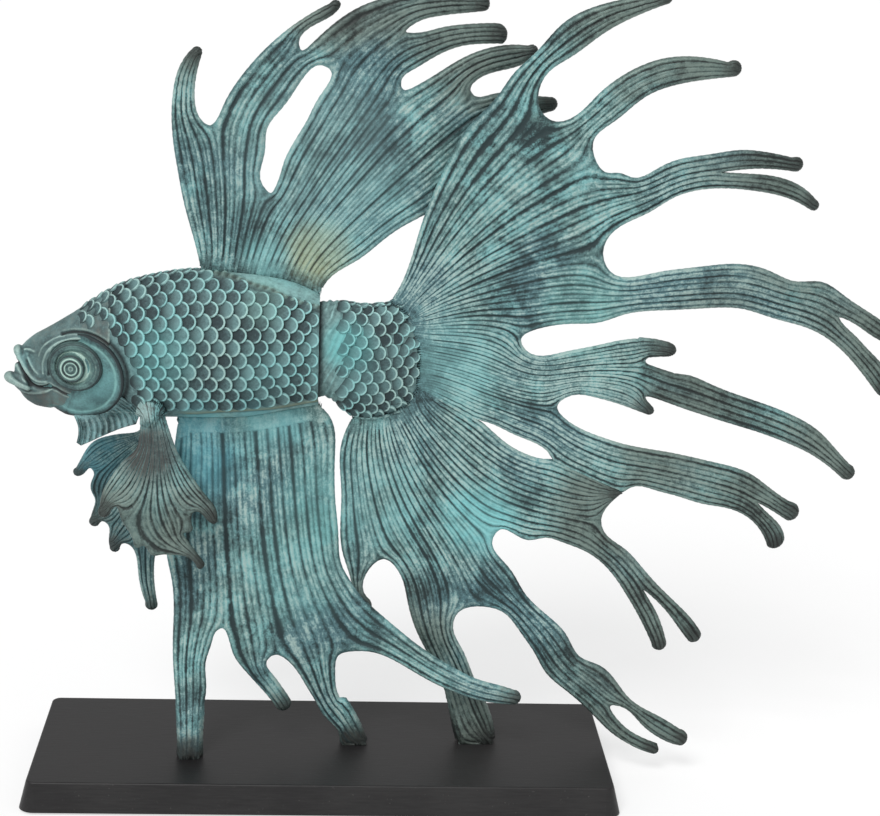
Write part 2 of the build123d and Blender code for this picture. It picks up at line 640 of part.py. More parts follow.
# Tail: one bent sheet carries both lobes, which meet before and behind the slit
tail_corner = (tail_root_x, base_top + tail_root_height)
tail_size = (tail_length, tail_height)
lobe_seam_share = [(0.0, -0.117), (0.128, -0.208), (0.294, -0.321), (0.45, -0.4125)]
tail_edges_share = [
    [(-0.06, 0.13), (-0.041, 0.175), (-0.001, 0.352), (0.032, 0.478), (0.056, 0.554),
     (0.089, 0.629), (0.144, 0.711), (0.179, 0.781), (0.217, 0.831), (0.274, 0.917),
     (0.34, 0.964), (0.42, 0.99), (0.466, 0.998)],
    [(0.478, 0.978), (0.43, 0.951), (0.392, 0.926), (0.354, 0.895), (0.288, 0.828),
     (0.245, 0.787), (0.226, 0.735), (0.231, 0.68), (0.26, 0.649), (0.312, 0.67), (0.349, 0.721),
     (0.411, 0.787), (0.487, 0.828), (0.562, 0.833), (0.62, 0.82)],
    [(0.63, 0.787), (0.594, 0.781), (0.506, 0.759), (0.449, 0.727), (0.387, 0.658),
     (0.345, 0.605), (0.349, 0.55), (0.378, 0.51), (0.404, 0.51), (0.43, 0.498), (0.5, 0.535),
     (0.594, 0.565), (0.66, 0.578), (0.716, 0.573), (0.775, 0.558)],
    [(0.778, 0.525), (0.716, 0.532), (0.66, 0.528), (0.617, 0.518), (0.66, 0.513),
     (0.742, 0.504), (0.832, 0.439)],
    [(0.824, 0.415), (0.756, 0.455), (0.703, 0.468), (0.578, 0.471), (0.522, 0.448),
     (0.469, 0.404), (0.43, 0.379), (0.386, 0.33), (0.378, 0.275), (0.4, 0.226), (0.494, 0.229),
     (0.586, 0.246), (0.66, 0.255), (0.744, 0.234), (0.8, 0.205), (0.858, 0.204), (0.91, 0.165),
     (0.972, 0.114), (1.02, 0.075)],
    [(1.012, 0.036), (0.957, 0.074), (0.929, 0.096), (0.9, 0.106), (0.91, 0.085), (0.938, 0.052),
     (0.967, 0.014), (0.993, -0.018), (1.018, -0.065)],
    [(1.0, -0.115), (0.957, -0.046), (0.9, 0.028), (0.839, 0.074), (0.758, 0.104), (0.687, 0.131),
     (0.626, 0.134), (0.531, 0.127), (0.43, 0.112), (0.378, 0.088), (0.325, 0.083),
     (0.253, 0.067), (0.213, 0.03), (0.228, -0.006), (0.312, -0.004), (0.366, 0.012),
     (0.469, 0.038), (0.512, 0.028)],
    [(0.534, -0.012), (0.485, -0.019), (0.49, -0.044), (0.572, -0.067), (0.625, -0.092),
     (0.69, -0.125), (0.756, -0.154), (0.82, -0.188), (0.872, -0.229), (0.912, -0.281),
     (0.947, -0.328)],
    [(0.932, -0.362), (0.898, -0.325), (0.859, -0.292), (0.806, -0.26), (0.742, -0.229),
     (0.678, -0.204), (0.612, -0.177), (0.547, -0.148), (0.485, -0.128), (0.503, -0.16)],
    [(0.494, -0.178), (0.43, -0.148), (0.378, -0.13), (0.328, -0.127), (0.297, -0.16),
     (0.33, -0.214), (0.39, -0.25), (0.444, -0.272), (0.547, -0.296), (0.65, -0.325),
     (0.728, -0.358), (0.769, -0.396), (0.82, -0.44)],
    [(0.815, -0.49), (0.785, -0.464), (0.746, -0.44), (0.764, -0.466), (0.8, -0.512),
     (0.811, -0.545)],
    [(0.778, -0.571), (0.76, -0.522), (0.728, -0.481), (0.678, -0.454), (0.625, -0.442),
     (0.572, -0.421), (0.522, -0.404), (0.484, -0.392), lobe_seam_share[3]],
    [lobe_seam_share[2], (0.29, -0.305), (0.259, -0.272), (0.209, -0.246), (0.169, -0.221),
     lobe_seam_share[1]]]
tail_tips_share = [(0.492, 0.996), (0.646, 0.802), (0.796, 0.54), (0.838, 0.42), (1.037, 0.05),
                   (1.027, -0.108), (0.552, 0.002), (0.957, -0.356), (0.505, -0.176),
                   (0.838, -0.475), (0.8, -0.572), None]
tail_root_share = [lobe_seam_share[0], (-0.06, -0.117)]
tail_bend_share = [
    (-1.26, [(-0.22, 0.6), (-0.03, 0.6), (0.156, 0.5), (0.45, 0.0), (0.72, -0.4), (1.1, -0.4)]),
    (-0.83, [(-0.22, 0.6), (-0.03, 0.4), (0.156, 0.1), (0.45, -0.4), (0.72, -0.6), (1.1, -0.6)]),
    (-0.46, [(-0.22, 0.3), (-0.03, 0.1), (0.156, -0.3), (0.45, -0.6), (0.72, -0.4), (1.1, -0.2)]),
    (-0.1, [(-0.22, 0.0), (-0.03, 0.0), (0.156, -0.3), (0.45, -0.5), (0.72, 0.0), (1.1, 0.4)]),
    (0.21, [(-0.22, 0.0), (-0.03, -0.1), (0.156, -0.5), (0.45, -0.6), (0.72, 0.3), (1.1, 0.8)]),
    (0.58, [(-0.22, -0.2), (-0.03, -0.4), (0.156, -0.9), (0.45, -0.8), (0.72, 0.2),
            (1.1, 0.8)]),
    (1.08, [(-0.22, -0.4), (-0.03, -0.7), (0.156, -1.2), (0.45, -1.2), (0.72, -0.4),
            (1.1, 0.2)])]
tail_sheet = sheet(bend(tail_bend_share, tail_corner, tail_size, tail_wave), fin_thickness)

with BuildPart() as upper_tail_fin:
    add(ragged_prism(tail_edges_share, tail_tips_share, tail_root_share, tail_corner, tail_size))
    add(tail_sheet, mode=Mode.INTERSECT)
    add(stem_seat, mode=Mode.SUBTRACT)
    add(stem_tenon)

# Lower lobe: hung from the stem's underside, with the leg that carries the tail foot
lower_tail_corner = (lower_tail_front_x, belly_z)
lower_tail_size = (lower_tail_length, belly_height)
seam_in_lower_share = [((x - lower_tail_corner[0]) / lower_tail_size[0],
                        (z - lower_tail_corner[1]) / lower_tail_size[1])
                       for x, z in outline_points(lobe_seam_share, tail_corner, tail_size)]
lower_tail_edges_share = [
    [seam_in_lower_share[1], (0.408, -0.0375), (0.45, -0.073), (0.5, -0.1), (0.54, -0.1125),
     seam_in_lower_share[2]],
    [seam_in_lower_share[3], (0.74, -0.238), (0.718, -0.285), (0.73, -0.33), (0.784, -0.375),
     (0.85, -0.446), (0.916, -0.517), (0.984, -0.585), (1.014, -0.625)],
    [(0.99, -0.658), (0.95, -0.604), (0.9, -0.542), (0.848, -0.5), (0.876, -0.55),
     (0.905, -0.61), (0.92, -0.658)],
    [(0.886, -0.668), (0.85, -0.594), (0.8, -0.508), (0.75, -0.438), (0.684, -0.385),
     (0.616, -0.358), (0.568, -0.346), (0.516, -0.354), (0.44, -0.325), (0.418, -0.36),
     (0.468, -0.446), (0.516, -0.525), (0.584, -0.594), (0.64, -0.654), (0.684, -0.725),
     (0.74, -0.75), (0.832, -0.854), (0.916, -0.906), (0.98, -0.946)],
    [(0.988, -0.994), (0.932, -0.975), (0.868, -0.925), (0.808, -0.875), (0.778, -0.875),
     (0.8, -0.922), (0.85, -0.965), (0.912, -0.992)],
    [(0.904, -1.02), (0.85, -1.0), (0.784, -0.958), (0.724, -0.897), (0.65, -0.829),
     (0.592, -0.775), (0.56, -0.717), (0.508, -0.638), (0.468, -0.588), (0.408, -0.567),
     (0.33, -0.592), (0.318, -0.638), (0.35, -0.717), (0.384, -0.802), (0.416, -0.871),
     (0.444, -0.958), (0.447, -1.0)],
    [(0.348, -1.0), (0.332, -0.942), (0.308, -0.846), (0.268, -0.75), (0.224, -0.662),
     (0.192, -0.558), (0.17, -0.478), (0.12, -0.43), (0.08, -0.46), (0.08, -0.56)],
    [(0.04, -0.567), (0.024, -0.47), (0.008, -0.42), (0.0, -0.229), (-0.004, -0.09),
     (0.012, -0.035), (0.03, 0.0)]]
lower_tail_tips_share = [None, (1.017, -0.65), (0.906, -0.688), (1.002, -0.976), (0.922, -1.012),
                         None, (0.06, -0.604)]
lower_tail_root_share = [(0.08, 0.03), seam_in_lower_share[0]]
tail_foot_shares = [(0.0, 0.0, 1.0, 1.0), (0.35, -0.1, 0.95, 0.85), (1.0, -0.37, 1.05, 0.45)]


def leg_foot(shares, x, y, width, thickness):
    """Foot on the plinth's top from shares: height, lean along the fin, width and thickness."""
    return foot([(base_top + foot_height * up, x + width * lean, y, width * wide,
                  thickness * thick) for up, lean, wide, thick in shares])


with BuildPart() as lower_tail_fin:
    add(ragged_prism(lower_tail_edges_share, lower_tail_tips_share, lower_tail_root_share,
                     lower_tail_corner, lower_tail_size))
    add(tail_sheet, mode=Mode.INTERSECT)
    add(stem_seat, mode=Mode.SUBTRACT)
    add(leg_tenon)
    add(leg_foot(tail_foot_shares, tail_foot_x, tail_foot_y, tail_foot_width,
                 tail_foot_thickness))
    add(tapped_hole(tail_foot_x, tail_foot_y), mode=Mode.SUBTRACT)

# Anal fin: the curtain below the belly, on a front leg and a middle leg
anal_edges_share = [
    [(-0.004, 0.02), (-0.018, -0.085), (-0.036, -0.25), (-0.037, -0.418), (-0.025, -0.475),
     (-0.017, -0.567), (-0.019, -0.67), (-0.011, -0.81), (0.0, -0.953), (0.002, -1.0)],
    [(0.06, -1.0), (0.056, -0.9), (0.073, -0.798), (0.07, -0.728), (0.086, -0.672),
     (0.101, -0.634), (0.12, -0.625), (0.1375, -0.649), (0.155, -0.707), (0.191, -0.76),
     (0.229, -0.805), (0.281, -0.877)],
    [(0.318, -0.86), (0.296, -0.823), (0.266, -0.779), (0.245, -0.735), (0.27, -0.713),
     (0.303, -0.726), (0.34, -0.768), (0.37, -0.82), (0.4, -0.874), (0.421, -0.912),
     (0.458, -0.95), (0.472, -1.0)],
    [(0.54, -1.0), (0.533, -0.97), (0.503, -0.926), (0.473, -0.881), (0.451, -0.83),
     (0.446, -0.77), (0.455, -0.72), (0.5, -0.704), (0.569, -0.705), (0.62, -0.723),
     (0.679, -0.754), (0.737, -0.783), (0.795, -0.806), (0.861, -0.8265), (0.926, -0.836),
     (0.97, -0.8375)],
    [(0.97, -0.799), (0.926, -0.785), (0.861, -0.767), (0.796, -0.737), (0.738, -0.706),
     (0.679, -0.669), (0.62, -0.624), (0.561, -0.5765), (0.517, -0.535), (0.481, -0.486),
     (0.458, -0.4435), (0.451, -0.416), (0.447, -0.36), (0.436, -0.256), (0.432, -0.107),
     (0.427, -0.033), (0.412, 0.0)]]
anal_tips_share = [None, (0.302, -0.886), None, (0.99, -0.818)]
anal_root_share = [(0.385, 0.03), (0.36, 0.06), (0.02, 0.06)]
anal_corner = (anal_front_x, belly_z)
anal_size = (anal_length, belly_height)
anal_bend_share = [
    (0.1, [(-0.09, 0.0), (0.12, 0.0), (0.29, 0.0), (0.44, 0.0), (0.53, 0.0), (0.65, 0.0),
           (0.8, 0.0), (1.06, 0.0)]),
    (0.0, [(-0.09, 0.0), (0.12, 0.0), (0.29, 0.0), (0.44, 0.0), (0.53, 0.0), (0.65, -0.05),
           (0.8, -0.1), (1.06, -0.1)]),
    (-0.33, [(-0.09, -0.33), (0.12, -0.2), (0.29, -0.1), (0.44, -0.08), (0.53, -0.14),
             (0.65, -0.3), (0.8, -0.45), (1.06, -0.5)]),
    (-0.62, [(-0.09, -0.62), (0.12, -0.48), (0.29, -0.28), (0.44, -0.17), (0.53, -0.24),
             (0.65, -0.45), (0.8, -0.63), (1.06, -0.66)]),
    (-0.83, [(-0.09, -0.85), (0.12, -0.64), (0.29, -0.33), (0.44, -0.14), (0.53, -0.13),
             (0.65, -0.4), (0.8, -0.67), (1.06, -0.74)]),
    (-1.04, [(-0.09, -1.0), (0.12, -0.78), (0.29, -0.35), (0.44, -0.12), (0.53, -0.08),
             (0.65, -0.3), (0.8, -0.6), (1.06, -0.74)])]
anal_sheet = sheet(bend(anal_bend_share, anal_corner, anal_size, -front_foot_y), fin_thickness)
front_foot_shares = [(0.0, 0.0, 1.0, 1.0), (0.35, 0.0, 0.97, 0.88), (1.0, 0.02, 1.05, 0.5)]
middle_foot_shares = [(0.0, 0.09, 1.0, 1.0), (0.45, -0.2, 0.9, 0.85), (1.0, -0.78, 0.9, 0.5)]

with BuildPart() as anal_fin:
    add(ragged_prism(anal_edges_share, anal_tips_share, anal_root_share, anal_corner, anal_size))
    add(anal_sheet, mode=Mode.INTERSECT)
    add([fish_seat, stem_seat], mode=Mode.SUBTRACT)
    add(belly_tenon)
    add(leg_foot(front_foot_shares, front_foot_x, front_foot_y, front_foot_width,
                 front_foot_thickness))
    add(leg_foot(middle_foot_shares, middle_foot_x, middle_foot_y, middle_foot_width,
                 middle_foot_thickness))
    add(tapped_hole(front_foot_x, front_foot_y), mode=Mode.SUBTRACT)
    add(tapped_hole(middle_foot_x, middle_foot_y), mode=Mode.SUBTRACT)

# Pectoral fins: the left one hangs open beside the belly, the right one is swept forward
left_pectoral_edges_share = [
    [(-0.03, 0.04), (-0.06, -0.05), (-0.066, -0.146), (-0.092, -0.246), (-0.169, -0.318),
     (-0.245, -0.42), (-0.292, -0.495), (-0.32, -0.62)],
    [(-0.26, -0.643), (-0.212, -0.615), (-0.181, -0.696), (-0.132, -0.774), (-0.09, -0.87)],
    [(-0.05, -0.872), (-0.015, -0.88), (0.03, -0.935), (0.083, -0.931), (0.15, -0.93),
     (0.229, -0.935), (0.327, -1.0)],
    [(0.372, -0.99), (0.326, -0.931), (0.248, -0.828), (0.228, -0.79), (0.262, -0.778)],
    [(0.287, -0.74), (0.282, -0.677), (0.3, -0.64), (0.33, -0.637), (0.372, -0.668),
     (0.42, -0.712)],
    [(0.455, -0.69), (0.44, -0.613), (0.371, -0.53), (0.272, -0.402), (0.172, -0.236),
     (0.1, -0.05), (0.06, 0.04)]]
left_pectoral_tips_share = [(-0.295, -0.685), (-0.07, -0.885), (0.367, -1.013), (0.289, -0.766),
                            (0.449, -0.714)]
right_pectoral_edges_share = [
    [(-0.04, 0.04), (-0.07, -0.1), (-0.124, -0.262), (-0.227, -0.284), (-0.329, -0.304),
     (-0.432, -0.348), (-0.505, -0.444), (-0.56, -0.55)],
    [(-0.54, -0.6), (-0.505, -0.575), (-0.466, -0.54), (-0.437, -0.575), (-0.457, -0.656),
     (-0.456, -0.72), (-0.432, -0.78), (-0.443, -0.85), (-0.466, -0.925)],
    [(-0.42, -0.975), (-0.384, -0.945), (-0.345, -0.975), (-0.338, -1.06), (-0.335, -1.14)],
    [(-0.275, -1.16), (-0.24, -1.112), (-0.2, -1.125), (-0.15, -1.21), (-0.136, -1.338),
     (-0.117, -1.465), (-0.086, -1.568)],
    [(-0.012, -1.57), (-0.029, -1.444), (-0.034, -1.338), (-0.024, -1.2), (0.02, -1.0),
     (0.03, -0.7), (0.035, -0.3), (0.06, 0.04)]]
right_pectoral_tips_share = [(-0.568, -0.6), (-0.448, -0.985), (-0.305, -1.18),
                             (-0.038, -1.624)]
pectoral_root_share = []
wrist_corner = (wrist_x, wrist_z)
pectoral_size = (pectoral_length, pectoral_length)
left_pectoral_bend_share = [
    (0.1, [(-0.45, 1.1), (0.0, 0.96), (0.6, 1.1)]),
    (-0.25, [(-0.45, 1.5), (0.0, 1.42), (0.6, 1.55)]),
    (-0.6, [(-0.45, 1.9), (0.0, 1.84), (0.6, 1.95)]),
    (-1.08, [(-0.45, 2.2), (0.0, 2.2), (0.6, 2.25)])]
right_pectoral_bend_share = [
    (0.1, [(-0.7, 1.2), (-0.1, 0.96), (0.2, 1.0)]),
    (-0.3, [(-0.7, 1.5), (-0.1, 1.4), (0.2, 1.4)]),
    (-0.8, [(-0.7, 1.75), (-0.1, 1.8), (0.2, 1.75)]),
    (-1.7, [(-0.7, 2.1), (-0.1, 2.2), (0.2, 2.2)])]

pectorals = {}
for side_name, side, edges_share, tips_share, bend_share in (
        ("left", -1, left_pectoral_edges_share, left_pectoral_tips_share,
         left_pectoral_bend_share),
        ("right", 1, right_pectoral_edges_share, right_pectoral_tips_share,
         right_pectoral_bend_share)):
    wrist_boss = flank_rod(wrist_x, wrist_z, wrist_radius, wrist_spread / 2,
                           wrist_spread + pectoral_thickness / 2, side)
    wrist_tenon = flank_rod(wrist_x, wrist_z, wrist_tenon_radius, wrist_spread / 2,
                            wrist_spread, side)
    pectoral_sheet = sheet(bend(bend_share, wrist_corner, pectoral_size, side * wrist_spread),
                           pectoral_thickness)
    with BuildPart() as pectoral_fin:
        add(ragged_prism(edges_share, tips_share, pectoral_root_share, wrist_corner,
                         pectoral_size))
        add(pectoral_sheet, mode=Mode.INTERSECT)
        add(wrist_boss)
        add(fish_seat, mode=Mode.SUBTRACT)
        add(wrist_tenon)
    pectorals[side_name + "_pectoral_fin"] = pectoral_fin

# Names and files
pieces = {"felt_sheet": felt_sheet, "plinth": plinth, **washers, **screws, "head": head,
          **eyes, **gill_covers, **gill_membranes, "body_shell": body_shell,
          "tail_stem": tail_stem, "head_joint_pins": head_joint_pins,
          "body_joint_pins": body_joint_pins, "dorsal_fin": dorsal_fin,
          "upper_tail_fin": upper_tail_fin, "lower_tail_fin": lower_tail_fin,
          "anal_fin": anal_fin, **pectorals}
os.makedirs("parts", exist_ok=True)
for piece_name, piece in pieces.items():
    piece.part.label = piece_name
    export_step(piece.part, "parts/" + piece_name + ".step")
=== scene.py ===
import math

import bpy
import numpy as np
from mathutils import Matrix, Vector, kdtree, noise
from mathutils.bvhtree import BVHTree
from mathutils.geometry import delaunay_2d_cdt


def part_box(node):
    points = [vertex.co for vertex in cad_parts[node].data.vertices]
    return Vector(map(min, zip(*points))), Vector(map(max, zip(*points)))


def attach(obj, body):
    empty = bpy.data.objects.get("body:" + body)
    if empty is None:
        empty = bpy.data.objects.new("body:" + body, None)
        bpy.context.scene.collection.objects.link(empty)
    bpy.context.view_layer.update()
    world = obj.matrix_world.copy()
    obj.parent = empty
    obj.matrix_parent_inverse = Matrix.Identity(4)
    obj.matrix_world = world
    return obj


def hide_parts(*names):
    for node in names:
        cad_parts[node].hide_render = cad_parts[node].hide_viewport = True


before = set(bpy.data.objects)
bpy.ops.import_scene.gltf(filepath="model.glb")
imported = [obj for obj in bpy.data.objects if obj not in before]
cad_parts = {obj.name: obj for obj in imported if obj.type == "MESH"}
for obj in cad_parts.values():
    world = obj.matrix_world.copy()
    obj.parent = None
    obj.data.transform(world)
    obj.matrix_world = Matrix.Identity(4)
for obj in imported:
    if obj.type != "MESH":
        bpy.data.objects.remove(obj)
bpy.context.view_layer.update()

# Camera, at the place that the photograph was taken from, fitted to the plinth and the fin tips.
# Distances are in metres, turns in degrees: to the right, downwards and about the line of sight.
scene = bpy.context.scene
camera_place = (-0.00325, -1.39418, 0.6269)
camera_turn = math.radians(3.237)
camera_tilt = math.radians(14.4)
camera_roll = math.radians(-1.954)
photo_width = 880
photo_focal_length = 2101.33
sensor_width = 36
forward = Vector((math.sin(camera_turn) * math.cos(camera_tilt),
                  math.cos(camera_turn) * math.cos(camera_tilt), -math.sin(camera_tilt)))
level = Vector((math.cos(camera_turn), -math.sin(camera_turn), 0))
downward = forward.cross(level)
rightward = math.cos(camera_roll) * level + math.sin(camera_roll) * downward
upward = math.sin(camera_roll) * level - math.cos(camera_roll) * downward
camera = bpy.data.objects.new("camera", bpy.data.cameras.new("camera"))
camera.data.sensor_fit = "HORIZONTAL"
camera.data.sensor_width = sensor_width
camera.data.lens = photo_focal_length / photo_width * sensor_width
camera.matrix_world = Matrix((rightward, upward, -forward)).transposed().to_4x4()
camera.location = camera_place
scene.collection.objects.link(camera)
scene.camera = camera

# Studio: a pale floor, even white surroundings and one wide soft lamp above the fish's left side.
# The camera sees plain white surroundings, and a floor whose shadows are partly washed out.
scene.view_settings.view_transform = "Standard"
key_strength = 2.1
key_spread = math.radians(24)
key_aim = (math.radians(38), math.radians(-22), 0)
surround_strength = 0.62
floor_size = 60
floor_colour = (0.94, 0.94, 0.94, 1)
washed_share = 0.62


def blended(tree, factor, first, second, output):
    """Mixes two shaders of a tree by a factor, and links the mix to the tree's output node."""
    blend = tree.nodes.new("ShaderNodeMixShader")
    for source, target in zip((factor, first, second), blend.inputs):
        tree.links.new(source, target)
    tree.links.new(blend.outputs[0], tree.nodes[output].inputs["Surface"])


key = bpy.data.objects.new("key_lamp", bpy.data.lights.new("key_lamp", "SUN"))
key.data.energy = key_strength
key.data.angle = key_spread
key.rotation_euler = key_aim
scene.collection.objects.link(key)
world = bpy.data.worlds.new("studio")
scene.world = world
world.use_nodes = True
world_nodes = world.node_tree.nodes
surround = world_nodes["Background"]
surround.inputs["Strength"].default_value = surround_strength
white = world_nodes.new("ShaderNodeBackground")
surround.inputs["Color"].default_value = white.inputs["Color"].default_value = (1, 1, 1, 1)
path = world_nodes.new("ShaderNodeLightPath")
blended(world.node_tree, path.outputs["Is Camera Ray"], surround.outputs[0], white.outputs[0],
        "World Output")
floor_mesh = bpy.data.meshes.new("floor")
half_floor = floor_size / 2
floor_mesh.from_pydata([(-half_floor, -half_floor, 0), (half_floor, -half_floor, 0),
                        (half_floor, half_floor, 0), (-half_floor, half_floor, 0)],
                       [], [(0, 1, 2, 3)])
floor = bpy.data.objects.new("floor", floor_mesh)
scene.collection.objects.link(floor)
floor_finish = bpy.data.materials.new("pale_floor")
floor_finish.use_nodes = True
floor_nodes = floor_finish.node_tree.nodes
floor_coat = floor_nodes["Principled BSDF"]
floor_coat.inputs["Base Color"].default_value = floor_colour
floor_coat.inputs["Roughness"].default_value = 1
floor_coat.inputs["Specular IOR Level"].default_value = 0
floor_path = floor_nodes.new("ShaderNodeLightPath")
washed = floor_nodes.new("ShaderNodeMath")
washed.operation = "MULTIPLY"
washed.inputs[1].default_value = washed_share
floor_finish.node_tree.links.new(floor_path.outputs["Is Camera Ray"], washed.inputs[0])
floor_glow = floor_nodes.new("ShaderNodeEmission")
blended(floor_finish.node_tree, washed.outputs[0], floor_coat.outputs[0], floor_glow.outputs[0],
        "Material Output")
floor_mesh.materials.append(floor_finish)


# Felt under the plinth: one sheet of black wool felt, glued on, with holes for the screws.
# Its fibres show as a fine uneven nap.
class Wire:
    """A socket of a material. Arithmetic on it adds Math nodes, and node() adds any other."""

    def __init__(self, socket):
        self.socket = socket
        self.tree = socket.id_data

    def node(self, kind, settings, sockets, output=0):
        made = self.tree.nodes.new(kind)
        for name, value in settings.items():
            setattr(made, name, value)
        fill(made, sockets)
        return Wire(made.outputs[output])

    def maths(self, operation, *values):
        return self.node("ShaderNodeMath", {"operation": operation},
                         dict(enumerate([self, *values])))

    def __add__(self, other):
        return self.maths("ADD", other)

    __radd__ = __add__

    def __mul__(self, other):
        return self.maths("MULTIPLY", other)

    __rmul__ = __mul__

    def __sub__(self, other):
        return self.maths("SUBTRACT", other)

    def __rsub__(self, other):
        return self.maths("MULTIPLY", -1).maths("ADD", other)

    def held(self):
        """The same value, held between 0 and 1."""
        return self.node("ShaderNodeClamp", {}, {"Value": self})

    def step(self, low, high):
        """0 below the low value, 1 above the high one, smooth between them."""
        return self.node("ShaderNodeMapRange", {"interpolation_type": "SMOOTHSTEP"},
                         {"Value": self, "From Min": low, "From Max": high})

    def grain(self, scale, detail=3.0, roughness=0.5):
        """Noise from 0 to 1, read at this vector."""
        return self.node("ShaderNodeTexNoise", {}, {"Vector": self, "Scale": scale,
                                                    "Detail": detail, "Roughness": roughness})

    def stretched(self, x, y, z):
        """This vector with its three axes scaled."""
        return self.node("ShaderNodeMapping", {}, {"Vector": self, "Scale": (x, y, z)})

    def between(self, low_colour, high_colour):
        """A colour between two others, by this value."""
        return self.node("ShaderNodeMix", {"data_type": "RGBA"},
                         {0: self, 6: low_colour, 7: high_colour}, output=2)


def fill(node, sockets):
    """Gives a node's sockets their values, or links them."""
    for name, value in sockets.items():
        if isinstance(value, Wire):
            node.id_data.links.new(value.socket, node.inputs[name])
        else:
            node.inputs[name].default_value = value


def srgb(red, green, blue):
    """A colour as it looks on a screen, from 0 to 255, in the shader's own light."""
    parts = [part / 255 for part in (red, green, blue)]
    return (*[part / 12.92 if part < 0.04 else ((part + 0.055) / 1.055) ** 2.4
              for part in parts], 1)


def new_finish(name):
    """A new material: it, its shader node and its Object coordinates."""
    made = bpy.data.materials.new(name)
    made.use_nodes = True
    shader = made.node_tree.nodes["Principled BSDF"]
    place = made.node_tree.nodes.new("ShaderNodeTexCoord")
    return made, shader, Wire(place.outputs["Object"])


def bumped(height, strength, distance):
    """Surface normal from a height that is given from 0 to 1."""
    return height.node("ShaderNodeBump", {},
                       {"Height": height, "Strength": strength, "Distance": distance})


def dress(node, finish):
    """Gives a CAD node that stays in view its finish."""
    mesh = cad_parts[node].data
    mesh.materials.clear()
    mesh.materials.append(finish)


felt_nap_scale = 900
felt_nap_depth = 0.0006
felt_finish, felt_shader, felt_place = new_finish("black_felt")
nap = felt_place.grain(felt_nap_scale, 4)
fill(felt_shader, {"Base Color": nap.between(srgb(24, 24, 26), srgb(52, 52, 55)),
                   "Roughness": 1, "Normal": bumped(nap, 0.6, felt_nap_depth)})
dress("felt_sheet", felt_finish)

# Plinth: a board with flared sides, painted satin black by brush.
# The brush has left faint marks along it, and a little pale dust lies on it in specks.
brush_scale = 60
brush_stretch = 14
cloud_scale = 14
dust_scale = 420
pore_scale = 300
brush_depth = 0.0004
paint_finish, paint_shader, paint_place = new_finish("black_painted_wood")
brushed = paint_place.stretched(1, brush_stretch, brush_stretch).grain(brush_scale, 5, 0.6)
cloudy = paint_place.grain(cloud_scale)
dust = paint_place.grain(dust_scale, 2, 0.7).step(0.66, 0.78)
paint = (brushed * 0.45 + cloudy * 0.55).step(0.3, 0.72).between(srgb(25, 24, 25),
                                                                 srgb(40, 39, 39))
uneven_paint = brushed * 0.7 + paint_place.grain(pore_scale) * 0.3
fill(paint_shader, {"Base Color": (dust * 0.35).between(paint, srgb(92, 90, 88)),
                    "Roughness": brushed * 0.22 + cloudy * 0.16 + 0.28,
                    "Specular IOR Level": 0.3,
                    "Normal": bumped(uneven_paint, 0.35, brush_depth)})
dress("plinth", paint_finish)


# Anal fin: the curtain below the belly, a thin bronze casting let into the belly by a tenon, with
# a leg at each end. Its outline and its bend are read from the frame, and its rays are the lines
# along which something would flow from the belly into the tines.
outline_cell = 0.0009
outline_halvings = 5
smallest_hole = 0.1
far_off = 0.4
tip_reach = 0.014
turn_share = 0.66
cap_share = 0.42
side_reach = 0.05
flow_steps = 900
flow_settled = 1e-14
weight_range = (0.03, 10)
least_area = 1e-12
cut_slack = 0.001
lines_per_ray = 6
bend_order = 6
widest_pitch = 0.009
crowded_pitch = 0.0016
finer_pitch = 0.0036
groove_seed = 11
groove_kinds = 97
groove_width = 0.12
finer_width = 0.09
groove_depths = (0.0004, 0.0014)
sheet_half = 0.0035
rim_reach = 0.0035
rim_share = 0.42
rim_spacing = 0.0005
swell_share = 0.45
root_sink = 0.003
root_snap = 0.0003
root_even = 0.01
root_fade = 0.014
tip_fade = 0.05
sister_reach = 0.0015
cast_wave = 0.0006
cast_wave_size = 0.035
base_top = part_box("plinth")[1].z


def cad_tree(nodes):
    """Search tree over CAD nodes' surfaces."""
    points = []
    faces = []
    for node in nodes:
        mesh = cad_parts[node].data
        first = len(points)
        points += [vertex.co.copy() for vertex in mesh.vertices]
        faces += [[first + index for index in polygon.vertices] for polygon in mesh.polygons]
    return BVHTree.FromPolygons(points, faces)


def silhouette(fin_tree, box, carrier_tree):
    """Outline of a fin seen from the left, and of its holes, outside the casting that carries it.
    A grid of rays finds it, and the points between the grid's are found by halving."""
    low, high = box
    xs, zs = (np.arange(start - 1.5 * outline_cell, end + 2 * outline_cell, outline_cell)
              for start, end in ((low.x, high.x), (low.z, high.z)))

    def filled(x, z):
        front, back = sides_at(fin_tree, x, z)
        if front is None:
            return False
        near, far = sides_at(carrier_tree, x, z)
        return near is None or not near < (front + back) / 2 < far

    cells = np.array([[filled(x, z) for z in zs] for x in xs])
    following = {}
    mixed = cells[:-1, :-1].astype(int) + cells[1:, :-1] + cells[1:, 1:] + cells[:-1, 1:]
    for i, j in np.argwhere((mixed > 0) & (mixed < 4)):
        ring = [(i, j), (i + 1, j), (i + 1, j + 1), (i, j + 1)]
        crossed = [(a, b) for a, b in zip(ring, ring[1:] + ring[:1]) if cells[a] != cells[b]]
        for (a, b), (c, d) in zip(crossed, crossed[1:] + crossed[:1]):
            if cells[a]:
                following[a, b] = (d, c)
    loops = []
    while following:
        first = next(iter(following))
        line, key = [], first
        while key in following:
            full = np.array([xs[key[0][0]], zs[key[0][1]]])
            empty = np.array([xs[key[1][0]], zs[key[1][1]]])
            for _ in range(outline_halvings):
                middle = (full + empty) / 2
                full, empty = (middle, empty) if filled(*middle) else (full, middle)
            line.append((full + empty) / 2)
            key = following.pop(key)
        loops.append(np.array(line))
    loops.sort(key=border_length)
    return [loop for loop in loops[::-1] if border_length(loop) > smallest_hole]


